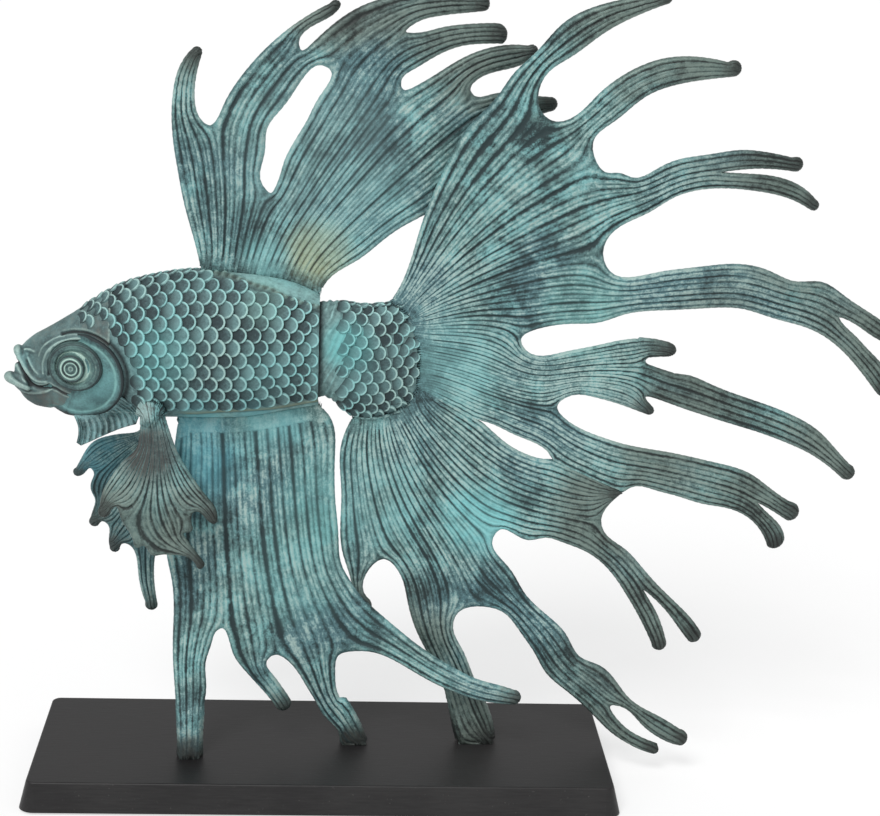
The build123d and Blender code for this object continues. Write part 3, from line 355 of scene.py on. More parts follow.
def sides_at(tree, x, z):
    """Where a ray across the fish enters and leaves a surface, or two Nones."""
    front = tree.ray_cast(Vector((x, -far_off, z)), Vector((0, 1, 0)))[0]
    back = tree.ray_cast(Vector((x, far_off, z)), Vector((0, -1, 0)))[0]
    return (front.y, back.y) if front and back else (None, None)


def border_length(line):
    """Length of a closed line."""
    return np.linalg.norm(line - np.roll(line, -1, axis=0), axis=1).sum()


def runs_along(line):
    """Distance along a line at each of its points."""
    return np.concatenate([[0], np.cumsum(np.linalg.norm(np.diff(line, axis=0), axis=1))])


def points_at(places, runs, line):
    """Points of a line at some distances along it, its own points having the runs."""
    return np.stack([np.interp(places, runs, column) for column in np.transpose(line)], axis=1)


def even_points(line, spacing):
    """A closed line's points again, evenly spaced."""
    closed = np.vstack([line, line[:1]])
    runs = runs_along(closed)
    count = max(8, round(runs[-1] / spacing))
    return points_at(np.arange(count) * runs[-1] / count, runs, closed)


def inside(points, loops):
    """Which points lie within the first of some closed outlines and outside the others."""
    crossed = np.zeros(len(points), int)
    for loop in loops:
        ends = np.roll(loop, -1, axis=0)
        for (x0, z0), (x1, z1) in zip(loop, ends):
            if z0 != z1:
                spans = (points[:, 1] >= min(z0, z1)) & (points[:, 1] < max(z0, z1))
                cross_x = x0 + (points[:, 1] - z0) / (z1 - z0) * (x1 - x0)
                crossed += spans & (cross_x > points[:, 0])
    return crossed % 2 == 1


def nearest_tree(points):
    """Search tree over points of the plane."""
    tree = kdtree.KDTree(len(points))
    for index, (x, z) in enumerate(points):
        tree.insert((x, 0, z), index)
    tree.balance()
    return tree


def distances(points, tree):
    """Distance from each point of the plane to the nearest one in a tree."""
    return np.array([tree.find((x, 0, z))[2] for x, z in points])


def near_mean(points, tree, values, count):
    """Mean of the values of the points in a tree that lie nearest to each point of the plane."""
    return np.array([np.mean([values[index] for _, index, _ in tree.find_n((x, 0, z), count)])
                     for x, z in points])


def find_tips(outline, spacing):
    """Places along an outline where it turns back on itself round the tip of a tine."""
    steps = round(tip_reach / spacing)
    before = np.roll(outline, steps, axis=0)
    after = np.roll(outline, -steps, axis=0)
    widths = np.linalg.norm(after - before, axis=1)
    first, second = outline - before, after - outline
    convex = first[:, 0] * second[:, 1] - first[:, 1] * second[:, 0] > 0
    tips = []
    for index, width in enumerate(widths):
        near = np.take(widths, range(index - steps, index + steps + 1), mode="wrap")
        if convex[index] and width < turn_share * 2 * tip_reach and width <= near.min():
            if not tips or index - tips[-1][0] > steps:
                tips.append((index, width))
    return tips


def even_flow(points, triangles, fixed, tied):
    """Solves for a flow that is fixed on the sides and the same all round each hole."""
    label = np.arange(len(points))
    for group in tied:
        label[group] = group[0]
    rows, columns, weights = [], [], []
    corner = points[triangles]
    for turn in range(3):
        a, b, c = (triangles[:, (turn + shift) % 3] for shift in range(3))
        side_a = corner[:, turn] - corner[:, (turn + 2) % 3]
        side_b = corner[:, (turn + 1) % 3] - corner[:, (turn + 2) % 3]
        area = side_a[:, 0] * side_b[:, 1] - side_a[:, 1] * side_b[:, 0]
        weight = (side_a * side_b).sum(axis=1) / np.maximum(np.abs(area), least_area) / 2
        weight = np.clip(weight, *weight_range)
        rows += [a, b]
        columns += [b, a]
        weights += [weight, weight]
    rows, columns = label[np.concatenate(rows)], label[np.concatenate(columns)]
    weights = np.concatenate(weights)
    count = len(points)
    free = np.zeros(count, bool)
    free[np.unique(rows)] = True
    free[list(fixed)] = False
    flow = np.full(count, np.mean(list(fixed.values())))
    for index, value in fixed.items():
        flow[index] = value
    diagonal = np.maximum(np.bincount(rows, weights, count), 1e-9)

    def spread(values):
        return np.bincount(rows, weights * (values[rows] - values[columns]), count) * free

    residue = -spread(flow)
    step = residue / diagonal
    strength = residue @ step
    for _ in range(flow_steps):
        change = spread(step)
        share = strength / max(step @ change, 1e-30)
        flow += share * step
        residue -= share * change
        scaled = residue / diagonal
        renewed = residue @ scaled
        if renewed < flow_settled:
            break
        step = scaled + renewed / strength * step
        strength = renewed
    return flow[label]


def cut_along(points, triangles, flow, interval):
    """Cuts triangles along the lines where the flow is a multiple of an interval."""
    made_points, made_flow = list(points), list(flow)
    cuts = {}

    def crossings(low, high):
        if (low, high) not in cuts:
            first = math.floor(flow[low] / interval + cut_slack) + 1
            last = math.ceil(flow[high] / interval - cut_slack) - 1
            crossed = {}
            for number in range(first, last + 1):
                share = (number * interval - flow[low]) / (flow[high] - flow[low])
                crossed[number] = len(made_points)
                made_points.append(points[low] + share * (points[high] - points[low]))
                made_flow.append(number * interval)
            cuts[low, high] = crossed
        return cuts[low, high]

    faces = []
    for triangle in triangles:
        low, middle, high = sorted(triangle, key=lambda index: flow[index])
        a, b, c = points[low], points[middle], points[high]
        mirrored = (b[0] - a[0]) * (c[1] - a[1]) - (b[1] - a[1]) * (c[0] - a[0]) > 0
        short_side = {**crossings(low, middle), **crossings(middle, high)}
        strips = []
        near_long, near_short, passed = low, low, False
        for number, on_long in sorted(crossings(low, high).items()):
            on_short = short_side.get(number, middle)
            strip = [near_long, on_long, on_short]
            if not passed and number * interval > flow[middle] and on_short != middle:
                strip.append(middle)
                passed = True
            passed = passed or on_short == middle
            strips.append(strip + [near_short])
            near_long, near_short = on_long, on_short
        strips.append([near_long, high] + ([] if passed else [middle]) + [near_short])
        for strip in strips:
            ring = tuple(dict.fromkeys(strip))
            if len(ring) > 2:
                faces.append(ring[::-1] if mirrored else ring)
    return np.array(made_points), np.array(made_flow), faces


def ray_relief(flow, pitch):
    """Height across the rays from 0 in a groove to 1, with a finer groove where they spread and
    every second groove lost where they crowd, and how far each point is from a groove."""
    groove = np.round(flow).astype(int)
    to_groove = np.abs(flow - groove)
    depths = np.random.default_rng(groove_seed).uniform(0.6, 1, groove_kinds)
    crowded = np.where(groove % 2 == 1, np.clip((pitch - crowded_pitch) / 0.001, 0.35, 1), 1)
    depths = depths[groove % groove_kinds] * crowded
    ridge = 1 - depths * np.exp(-(to_groove / groove_width) ** 2)
    finer = 1 - np.exp(-((0.5 - to_groove) / finer_width) ** 2)
    spread = np.clip((pitch - finer_pitch) / 0.002, 0, 1) * 0.8
    return ridge * (1 - spread * (1 - finer)), 1 - depths * (1 - 2 * to_groove)


def fin_outline(node, fin_tree, carrier_tree, spacing, redrawn):
    """A fin's outline and its holes as even points. Each redrawn line replaces a stretch of it."""
    loops = [even_points(loop, spacing)
             for loop in silhouette(fin_tree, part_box(node), carrier_tree)]
    for line in redrawn:
        outline = loops[0]
        first, last = (np.linalg.norm(outline - end, axis=1).argmin()
                       for end in (line[0], line[-1]))
        if (first - last) % len(outline) < len(outline) / 2:
            line, first, last = line[::-1], last, first
        kept_side = np.roll(outline, -last, axis=0)[1:(first - last) % len(outline)]
        loops[0] = even_points(np.vstack([kept_side, line]), spacing)
    return loops


def fin_net(loops, grid):
    """A net of triangles over a fin's outline, finer along it: its points and triangles, where
    each point of the outlines is among them, and which of them are inner ones."""
    low, high = loops[0].min(axis=0), loops[0].max(axis=0)
    rows = np.arange(low[1], high[1], grid * math.sqrt(0.75))
    lattice = np.array([(x + (row % 2) * grid / 2, z) for row, z in enumerate(rows)
                        for x in np.arange(low[0], high[0], grid)])
    lattice = lattice[inside(lattice, loops)]
    dense = np.vstack(loops)
    lattice = lattice[distances(lattice, nearest_tree(dense)) > grid * 0.42]
    edges, first = [], 0
    for loop in loops:
        edges += [(first + i, first + (i + 1) % len(loop)) for i in range(len(loop))]
        first += len(loop)
    made = delaunay_2d_cdt([Vector(point) for point in np.vstack([dense, lattice])], edges, [],
                           0, 1e-7)
    net = np.array([tuple(point) for point in made[0]])
    triangles = np.array(made[2])
    triangles = triangles[inside(net[triangles].mean(axis=1), loops)]
    origins = np.array([group[0] if group else -1 for group in made[3]])
    place_of = {origin: index for index, origin in enumerate(origins)}
    return net, triangles, place_of, np.flatnonzero(origins >= len(dense))


def cast_sheet(fin_tree, outline, net, inner):
    """The bend of a fin's sheet and half its thickness, both as functions of places, from rays
    through the inner points of its net."""
    middles, halves = np.zeros(len(net)), np.zeros(len(net))
    for index in inner:
        front, back = sides_at(fin_tree, *net[index])
        if front is not None:
            middles[index] = (front + back) / 2
            halves[index] = (back - front) / 2
    measured = halves > 0
    low, high = outline.min(axis=0), outline.max(axis=0)
    centre, size = (low + high) / 2, (high - low) / 2

    def powers(where):
        x, z = ((where - centre) / size).T
        return np.stack([x ** i * z ** j for i in range(bend_order + 1)
                         for j in range(bend_order + 1 - i)], axis=1)

    bent = np.linalg.lstsq(powers(net[measured]), middles[measured], rcond=None)[0]
    thick_tree = nearest_tree(net[measured])
    return (lambda where: powers(where) @ bent,
            lambda where: near_mean(where, thick_tree, halves[measured], 4))


def touching(points, tree, reach):
    """Which points lie within a reach of a surface."""
    return np.array([tree.find_nearest(point, reach)[0] is not None for point in points])


def ray_numbers(around, free_count, tips, spacing, ray_pitch):
    """The flow along an outline whose last points are the root. Each side between two tips has one
    number, as many rays on from the last side's as fit between them, and the root leads back."""
    sides, first = [], 0
    for index, width in tips + [(free_count, 0)]:
        cap = round(cap_share * width / spacing)
        if index - cap > first + 4:
            sides.append(np.arange(first, index - cap))
        first = index + cap
    levels = [0]
    near = max(6, round(side_reach / spacing))
    for before, after in zip(sides, sides[1:]):
        gaps = np.linalg.norm(around[before][:, None] - around[after][None], axis=2).min(axis=1)
        levels.append(levels[-1] + max(2, round(np.median(gaps[-near:]) / ray_pitch)))
    numbers = {index: level for side, level in zip(sides, levels) for index in side}
    root_steps = np.linspace(levels[-1], levels[0], len(around) - free_count + 2)[1:-1]
    numbers.update(zip(range(free_count, len(around)), root_steps))
    return numbers


def ray_pitches(net, triangles, flow):
    """Distance from ray to ray at each point of a net."""
    corner = net[triangles]
    ab, ac = (corner[:, end] - corner[:, 0] for end in (1, 2))
    fb, fc = (flow[triangles[:, end]] - flow[triangles[:, 0]] for end in (1, 2))
    area = np.abs(ab[:, 0] * ac[:, 1] - ab[:, 1] * ac[:, 0])
    slope = np.hypot(fb * ac[:, 1] - fc * ab[:, 1], fc * ab[:, 0] - fb * ac[:, 0]) / area
    slopes, areas = (np.bincount(triangles.ravel(), np.repeat(values, 3), len(net))
                     for values in (slope * area, area))
    return 1 / np.maximum(slopes / np.maximum(areas, least_area), 1 / widest_pitch)


def rounded(share, least=0.0):
    """Height of a round edge from 0 to 1, at a share of its reach."""
    return np.sqrt(np.clip(1 - (1 - np.clip(share, least, 1)) ** 2, 0, 1))


def closed_sheet(name, points, faces, middle, out, swell, seated):
    """Mesh of a sheet with two sides, sunk into its carrier at the seated points, and with walls
    that swell round its rim and its holes. Also which points the walls stand at."""
    used = dict.fromkeys((a, b) for face in faces for a, b in zip(face, face[1:] + face[:1]))
    border = {a: b for a, b in used if (b, a) not in used}
    coming = {b: a for a, b in border.items()}
    outward = {}
    for vertex, after in border.items():
        x, z = points[after] - points[coming.get(vertex, vertex)]
        outward[vertex] = np.array([z, -x]) / max(np.hypot(x, z), 1e-9)
    shifted = points.copy()
    sunk = [vertex for vertex in border if seated[vertex]]
    ways = np.array([outward[vertex] for vertex in sunk])
    for vertex in sunk:
        near = np.linalg.norm(points[sunk] - points[vertex], axis=1) < root_even
        way = ways[near].mean(axis=0)
        shifted[vertex] = points[vertex] + way / max(np.hypot(*way), 1e-9) * root_sink
    total = len(points)
    walls = {vertex: 2 * total + number for number, vertex in enumerate(border)}
    co = np.zeros((2 * total + len(walls), 3))
    co[:total] = np.stack([shifted[:, 0], middle - out, shifted[:, 1]], axis=1)
    co[total:2 * total] = np.stack([shifted[:, 0], middle + out, shifted[:, 1]], axis=1)
    for vertex, number in walls.items():
        x, z = shifted[vertex] + outward[vertex] * swell[vertex]
        co[number] = (x, middle[vertex], z)
    skin = faces + [tuple(total + index for index in face[::-1]) for face in faces]
    for a, b in border.items():
        if b in walls:
            skin.append((b, a, walls[a], walls[b]))
            skin.append((walls[b], walls[a], total + a, total + b))
    mesh = bpy.data.meshes.new(name)
    mesh.from_pydata(co.tolist(), [], skin)
    return mesh, list(border)


def rayed_fin(node, finish, carriers, ray_pitch, seat_reach=0.0042, depth_share=1.0, grid=0.0042,
              sisters=(), redrawn=()):
    """A fin with rays, in place of its CAD node: it stands on its carriers at its root."""
    fin_tree, carrier_tree = cad_tree([node]), cad_tree(carriers)
    spacing = grid * 0.4
    loops = fin_outline(node, fin_tree, carrier_tree, spacing, redrawn)
    outline, count = loops[0], len(loops[0])
    net, triangles, place_of, inner = fin_net(loops, grid)
    middle_at, half_at = cast_sheet(fin_tree, outline, net, inner)

    # The root, the tips, and the flow from one to the others
    standing = np.insert(outline, 1, middle_at(outline), axis=1)
    root_points = np.flatnonzero(touching(standing, carrier_tree, seat_reach))
    gaps = np.diff(np.append(root_points, root_points[0] + count))
    start, free_count = root_points[gaps.argmax()] + 1, gaps.max() - 1
    around = np.roll(outline, -start, axis=0)
    root_line = around[free_count:]
    joined_line = root_line
    if sisters:
        joined = touching(standing, cad_tree(sisters), sister_reach)
        joined_line = np.vstack([root_line, outline[joined]])
    tips = [(index, width) for index, width in find_tips(around, spacing)
            if 0 < index < free_count]
    numbers = ray_numbers(around, free_count, tips, spacing, ray_pitch)
    fixed = {place_of[(index + start) % count]: level for index, level in numbers.items()
             if (index + start) % count in place_of}
    tied, first = [], count
    for loop in loops[1:]:
        tied.append([place_of[first + i] for i in range(len(loop)) if first + i in place_of])
        first += len(loop)
    flow = even_flow(net, triangles, fixed, tied)

    # Cut along the rays, then raised on both sides
    points, flow_at, faces = cut_along(net, triangles, flow, 1 / lines_per_ray)
    pitch = near_mean(points, nearest_tree(net), ray_pitches(net, triangles, flow), 3)
    half = half_at(points)
    free_line = np.vstack([even_points(loop, rim_spacing) for loop in loops])
    free_line = free_line[distances(free_line, nearest_tree(joined_line)) > grid * 0.35]
    to_rim = distances(points, nearest_tree(free_line))
    to_tip = distances(points, nearest_tree([around[index] for index, _ in tips]))
    to_root = distances(points, nearest_tree(root_line))
    relief, crest = ray_relief(flow_at + 0.5, pitch)
    deepness = depth_share * np.clip(pitch * 0.3, *groove_depths)
    deepness = deepness * np.clip(to_root / root_fade * 2.4 - 1.3, 0.1, 1)
    deepness = deepness * np.clip(to_rim / 0.002, 0, 1)
    on_foot = np.clip((half - sheet_half) / 0.002, 0, 1)
    sole = points[:, 1] < base_top + 0.0008
    rim_half = np.where(sole, 1, rim_share + (1 - rim_share) * rounded(to_rim / rim_reach))
    wave = np.array([noise.noise(Vector((x, 0, z)) / cast_wave_size) for x, z in points])
    middle = middle_at(points) + cast_wave * wave * (1 - on_foot)
    out = half * rim_half + deepness * (relief - 0.75) * (1 - on_foot)
    swell = np.where(sole | (to_rim > 0.001), 0, swell_share * out)
    name = node + "_rayed"
    mesh, walled = closed_sheet(name, points, faces, middle, out, swell, to_root < root_snap)
    from_root = np.hypot(*(points - root_line.mean(axis=0)).T)
    traits = {"relief": relief * np.clip(to_root / 0.012, 0.25, 1), "tip": 1 - to_tip / tip_fade,
              "rim": 1 - to_rim / 0.004, "root": 1 - to_root / root_fade, "flow": flow_at,
              "crest": crest, "along": from_root}
    fill_traits(mesh, {kind: np.concatenate([values, values, values[walled]])
                       for kind, values in traits.items()})
    settle(mesh, name, finish, node)


def fill_traits(mesh, traits):
    """Stores numbers on a mesh's points, under names that its material reads."""
    for name, values in traits.items():
        layer = mesh.attributes.new(name, "FLOAT", "POINT")
        layer.data.foreach_set("value", np.asarray(values, np.float32))


def settle(mesh, name, finish, node):
    """Makes a finished mesh a piece of the fish, in place of its CAD node."""
    mesh.materials.clear()
    mesh.materials.append(finish)
    mesh.polygons.foreach_set("use_smooth", [True] * len(mesh.polygons))
    piece = bpy.data.objects.new(name, mesh)
    scene.collection.objects.link(piece)
    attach(piece, "root")
    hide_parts(node)


def traits_of(place, names):
    """The numbers that are stored on a piece's points, as a finish reads them."""
    return [place.node("ShaderNodeAttribute", {"attribute_name": name}, {}, output=2)
            for name in names]


def patched(colour, place, patches, inner, hold):
    """A colour with round patches over it in side view. Each has a place and a reach, a colour and
    a strength, is full up to the inner share of its reach, and shows most where it holds."""
    side_view = place.stretched(1, 0, 1)
    for (x, z, reach), patch_colour, strength in patches:
        gap = place.node("ShaderNodeVectorMath", {"operation": "DISTANCE"},
                         {0: side_view, 1: (x, 0, z)}, output=1)
        glow = (1 - gap.step(reach * inner, reach)) * hold * strength
        colour = glow.held().between(colour, patch_colour)
    return colour


dark_patina = srgb(38, 54, 56)
burnt_bronze = srgb(40, 41, 40)
mid_patina = srgb(100, 134, 132)
blue_patina = srgb(86, 122, 128)
pale_patina = srgb(158, 182, 177)
turquoise = srgb(126, 182, 183)
brown_bronze = srgb(43, 48, 46)
rubbed_bronze = srgb(104, 117, 110)


def fin_finish(name, brown_share, bare_from, bare_to, band_share, patches):
    """Verdigris over bronze: pale on the rays, dark in the grooves, smooth along the root and
    rubbed back to brown on the tines, between two distances from the root, with broad patches of
    painted shade."""
    made, shader, place = new_finish(name)
    relief, tip, rim, flow, along, crest, root = traits_of(
        place, ("relief", "tip", "rim", "flow", "along", "crest", "root"))
    streak_place = place.node("ShaderNodeCombineXYZ", {}, {"X": flow * 0.9, "Y": along * 14})
    streak = streak_place.grain(1, 4, 0.6)
    hatched = streak_place.stretched(3.1, 9, 1).grain(1, 3, 0.65)
    broad = place.grain(13, 2)
    patchy = place.stretched(1, 0.3, 1).grain(46, 4, 0.6)
    sandy = place.grain(900, 3, 0.7)
    mottled = place.grain(260, 3, 0.6)
    band = root.step(0.2, 0.36) * band_share
    depth = (streak_place.stretched(1.3, 1.2, 1).grain(1, 3, 0.6) * 1.1 + broad * 0.5).step(0.45, 1)
    ray = 1 - (1 - crest.step(0.05, 0.85) * 0.55 - relief * 0.45) * (depth * 1.05 + 0.38)
    ray = ray.maths("MAXIMUM", band * 0.95)
    # Broad patches of painted shade, placed at random, darken the patina.
    broad_shade = place.stretched(1, 0.3, 1).grain(19, 3, 0.6).step(0.48, 0.74)
    shine = ray * 0.6 + streak * 0.6 + patchy * 0.35 + mottled * 0.7 + sandy * 0.75 - 1.17
    shine = shine + rim.held() * 0.04 + hatched * 0.55 - 0.22 - broad_shade * 0.4
    base = broad.step(0.35, 0.62).between(blue_patina, mid_patina)
    base = (patchy * 0.7 + broad * 0.4).step(0.5, 0.75).between(base, turquoise)
    base = (shine - 0.5).step(0, 0.35).between(base, pale_patina)
    colour = shine.step(0.1, 0.66).between(dark_patina, base)
    colour = patched(colour, place, patches, 0.35,
                     (patchy.step(0.3, 0.55) * 0.5 + 0.5) * (ray * 0.75 + 0.2))
    bare = (along + broad * 0.05 - 0.025).step(bare_from, bare_to)
    brown = (tip * 0.6 + bare * 0.75 + streak * 0.5 + broad * 0.6 + brown_share - 0.72).step(0, 0.8)
    brown_tone = (shine * 0.65 + mottled * 0.3 + streak * 0.25 - 0.2).step(0.05, 0.6)
    brown_tone = brown_tone.between(brown_bronze, rubbed_bronze)
    colour = (brown * 0.85).between(colour, brown_tone)
    burnt = (tip + mottled * 0.5 - 0.85).step(0, 0.35)
    colour = (burnt * 0.8).between(colour, burnt_bronze)
    chisel = place.stretched(1, 0.4, 1).grain(330, 4, 0.7)
    fill(shader, {"Base Color": colour, "Roughness": 0.74 - brown * 0.2 - sandy * 0.1,
                  "Metallic": brown * 0.3 + 0.1, "Specular IOR Level": 0.35,
                  "Normal": bumped(chisel * 0.5 + hatched * 0.5 + sandy * 0.3, 0.8, 0.001)})
    return made


anal_finish = fin_finish("patina_on_anal_fin", 0.0, 0.28, 0.4, 1.0, [
    ((-0.1, 0.235, 0.055), srgb(98, 170, 184), 0.6), ((-0.04, 0.262, 0.035), srgb(120, 184, 188), 0.6),
    ((0.0, 0.2, 0.05), srgb(116, 180, 178), 0.45), ((-0.02, 0.15, 0.05), srgb(116, 176, 176), 0.3),
    ((-0.0925, 0.021, 0.02), burnt_bronze, 1.4), ((0.021, 0.021, 0.02), burnt_bronze, 1.4)])
rayed_fin("anal_fin", anal_finish, ["body_shell"], 0.004)

# Lower lobe of the tail: a bronze casting let into the stem's underside, with the leg that carries
# the tail foot. It meets the upper lobe before and behind the slit.
lower_tail_finish = fin_finish("patina_on_lower_tail", 0.0, 0.09, 0.17, 0.6, [
    ((0.105, 0.19, 0.035), srgb(122, 192, 194), 0.9), ((0.03, 0.2, 0.05), turquoise, 0.35),
    ((0.1095, 0.021, 0.022), burnt_bronze, 1.4)])
rayed_fin("lower_tail_fin", lower_tail_finish, ["tail_stem"], 0.0034, sisters=["upper_tail_fin"])

# Upper lobe of the tail: the largest of the bronze fins, let into the end of the stem, from where
# its rays spread. Its tines are brown where hands and cloth rub them.
upper_tail_finish = fin_finish("patina_on_upper_tail", 0.0, 0.13, 0.22, 0.6, [
    ((0.085, 0.3, 0.045), turquoise, 0.5), ((0.17, 0.34, 0.04), srgb(116, 172, 168), 0.5)])
short_tine = [(0.2095, 0.3216), (0.2209, 0.3205), (0.2294, 0.3186), (0.2335, 0.3168),
              (0.2353, 0.3137), (0.2342, 0.3108), (0.2307, 0.3095), (0.2241, 0.3093),
              (0.2166, 0.3087), (0.2137, 0.3062), (0.2152, 0.3032), (0.2229, 0.3004),
              (0.235, 0.2966), (0.246, 0.2951)]
rayed_fin("upper_tail_fin", upper_tail_finish, ["tail_stem"], 0.0032, sisters=["lower_tail_fin"],
          redrawn=[short_tine])

# Dorsal fin: a bronze crest of six tines with one long hole, let into the back.
# Its rear tines lean away behind the tail, and a yellow stain shows at its root.
crest_finish = fin_finish("patina_on_crest", 0.0, 0.13, 0.19, 0.5, [
    ((-0.01, 0.375, 0.03), srgb(168, 172, 128), 0.6), ((-0.045, 0.37, 0.022), turquoise, 0.7),
    ((0.02, 0.4, 0.05), turquoise, 0.35), ((-0.01, 0.44, 0.08), srgb(126, 162, 164), 0.45)])
rayed_fin("dorsal_fin", crest_finish, ["body_shell", "tail_stem"], 0.0034)

# Pectoral fins: small bronze fans on wrists let into the flanks, the left one hanging open, the
# right one swept forward. The left one is rubbed back to brown.
pectoral_cut = {"ray_pitch": 0.003, "seat_reach": 0.006, "depth_share": 1.2, "grid": 0.003}
left_pectoral_finish = fin_finish("patina_on_left_pectoral", -0.12, 0.0, 0.1, 0, [
    ((-0.121, 0.24, 0.03), srgb(54, 50, 49), 1.0), ((-0.126, 0.195, 0.022), srgb(98, 148, 150), 0.6),
    ((-0.127, 0.269, 0.012), srgb(178, 196, 192), 0.8)])
rayed_fin("left_pectoral_fin", left_pectoral_finish, ["body_shell"], **pectoral_cut)
right_pectoral_finish = fin_finish("patina_on_right_pectoral", -0.15, 0.2, 0.3, 0, [
    ((-0.15, 0.17, 0.07), srgb(48, 74, 78), 0.6), ((-0.165, 0.225, 0.03), srgb(72, 138, 152), 0.75)])
rayed_fin("right_pectoral_fin", right_pectoral_finish, ["body_shell"], **pectoral_cut)

# Tail stem: the rear body, a hollow bronze casting that comes out of the fore body's rim, pinned
# to it by a sleeve. Its skin is wrinkled at the gap and scaled behind it, as far as the tail.
section_step = 0.002
slot_miss = 0.004
oval_bias = 0.57
scale_sides = 18


def oval_sections(node, start, end):
    """Reads a body's ovals by rays: place, middle height, half width and half height of each."""
    tree = cad_tree([node])
    rows = []
    for x in np.arange(start, end + section_step / 2, section_step):
        top = tree.ray_cast(Vector((x, slot_miss, 2)), Vector((0, 0, -1)))[0]
        bottom = tree.ray_cast(Vector((x, slot_miss, -2)), Vector((0, 0, 1)))[0]
        if top and bottom:
            middle = (top.z + bottom.z) / 2
            side = sides_at(tree, x, middle)[1]
            if side and side > slot_miss * 1.05:
                share = math.sqrt(1 - (slot_miss / side) ** 2)
                rows.append((x, middle, side, (top.z - bottom.z) / 2 / share))
    return np.array(rows)


def oval_sizes(sections, x):
    """Middle height, half width and half height of a body's ovals at places along it."""
    return (np.interp(x, sections[:, 0], sections[:, column]) for column in (1, 2, 3))


def oval_points(sections, x, turn):
    """Points of a body: x along it, turn round it from 0 on its back by its left side to 1."""
    middle, half_width, half_height = oval_sizes(sections, x)
    angles = np.linspace(0, 2 * math.pi, 721)
    steps = np.hypot(np.cos(angles) * oval_bias, np.sin(angles))
    runs = np.concatenate([[0], np.cumsum((steps[1:] + steps[:-1]) / 2)])
    angle = np.interp(turn, runs / runs[-1], angles)
    return np.stack([x, -half_width * np.sin(angle), middle + half_height * np.cos(angle)],
                    axis=-1)


def oval_frame(sections, x, turn):
    """Outward and tailward directions of a body's surface at its points."""
    tailward = oval_points(sections, x + 0.001, turn) - oval_points(sections, x - 0.001, turn)
    round_it = oval_points(sections, x, turn + 0.002) - oval_points(sections, x, turn - 0.002)
    return (way / np.linalg.norm(way, axis=-1, keepdims=True)
            for way in (np.cross(round_it, tailward), tailward))


def waves(points, size, seed=0.0):
    """Smooth unevenness from -1 to 1 at points."""
    return np.array([noise.noise(Vector(point) / size + Vector((seed, seed, seed)))
                     for point in points.reshape(-1, 3)]).reshape(points.shape[:-1])


def ring_faces(rows, columns):
    """Faces of a closed skin over rows of points, each row a ring, with a cap at both ends."""
    faces = [(row * columns + column, row * columns + (column + 1) % columns,
              (row + 1) * columns + (column + 1) % columns, (row + 1) * columns + column)
             for row in range(rows - 1) for column in range(columns)]
    return faces + [tuple(range(columns))[::-1],
                    tuple(range((rows - 1) * columns, rows * columns))]


def grid_mesh(name, points, traits):
    """Closed mesh over rows of points, with numbers for its material."""
    rows, columns = points.shape[:2]
    mesh = bpy.data.meshes.new(name)
    mesh.from_pydata(points.reshape(-1, 3).tolist(), [], ring_faces(rows, columns))
    fill_traits(mesh, {kind: np.broadcast_to(values, (rows, columns)).ravel()
                       for kind, values in traits.items()})
    return mesh


def scale_template(name):
    """One scale, 1 from its middle to its rim: hollow, with a raised rear rim and a skirt."""
    rings = [(0.28, 0.0, 0.0), (0.54, 0.01, 0.0), (0.7, 0.045, 0.25), (0.81, 0.11, 0.7),
             (0.91, 0.15, 1.0), (0.98, 0.11, 0.9), (1.04, -0.3, 0.1)]
    points = [(0, 0, 0.02)]
    rims = [0]
    for radius, height, rim in rings:
        for angle in 2 * math.pi * np.arange(scale_sides) / scale_sides:
            x, y = radius * math.cos(angle), radius * math.sin(angle)
            rear = min(1, max(0, 0.55 + 0.75 * math.cos(angle)))
            points.append((x * 1.04, y * 1.08, height * rear + 0.17 * x - 0.05 * y * y + 0.03))
            rims.append(rim * rear)
    faces = [(0, 1 + number, 1 + (number + 1) % scale_sides) for number in range(scale_sides)]
    for first in range(1, 1 + (len(rings) - 1) * scale_sides, scale_sides):
        inner = [first + number for number in range(scale_sides)]
        faces += [(a, a + scale_sides, b + scale_sides, b)
                  for a, b in zip(inner, inner[1:] + inner[:1])]
    mesh = bpy.data.meshes.new(name)
    mesh.from_pydata(points, [], faces)
    # The dip marks each scale's front, which the scale ahead overlaps; the finish darkens it there with
    # dark patina and painted shade.
    fill_traits(mesh, {"rim": rims, "dip": [max(0, 0.5 - x) for x, y, z in points]})
    return bpy.data.objects.new(name, mesh)


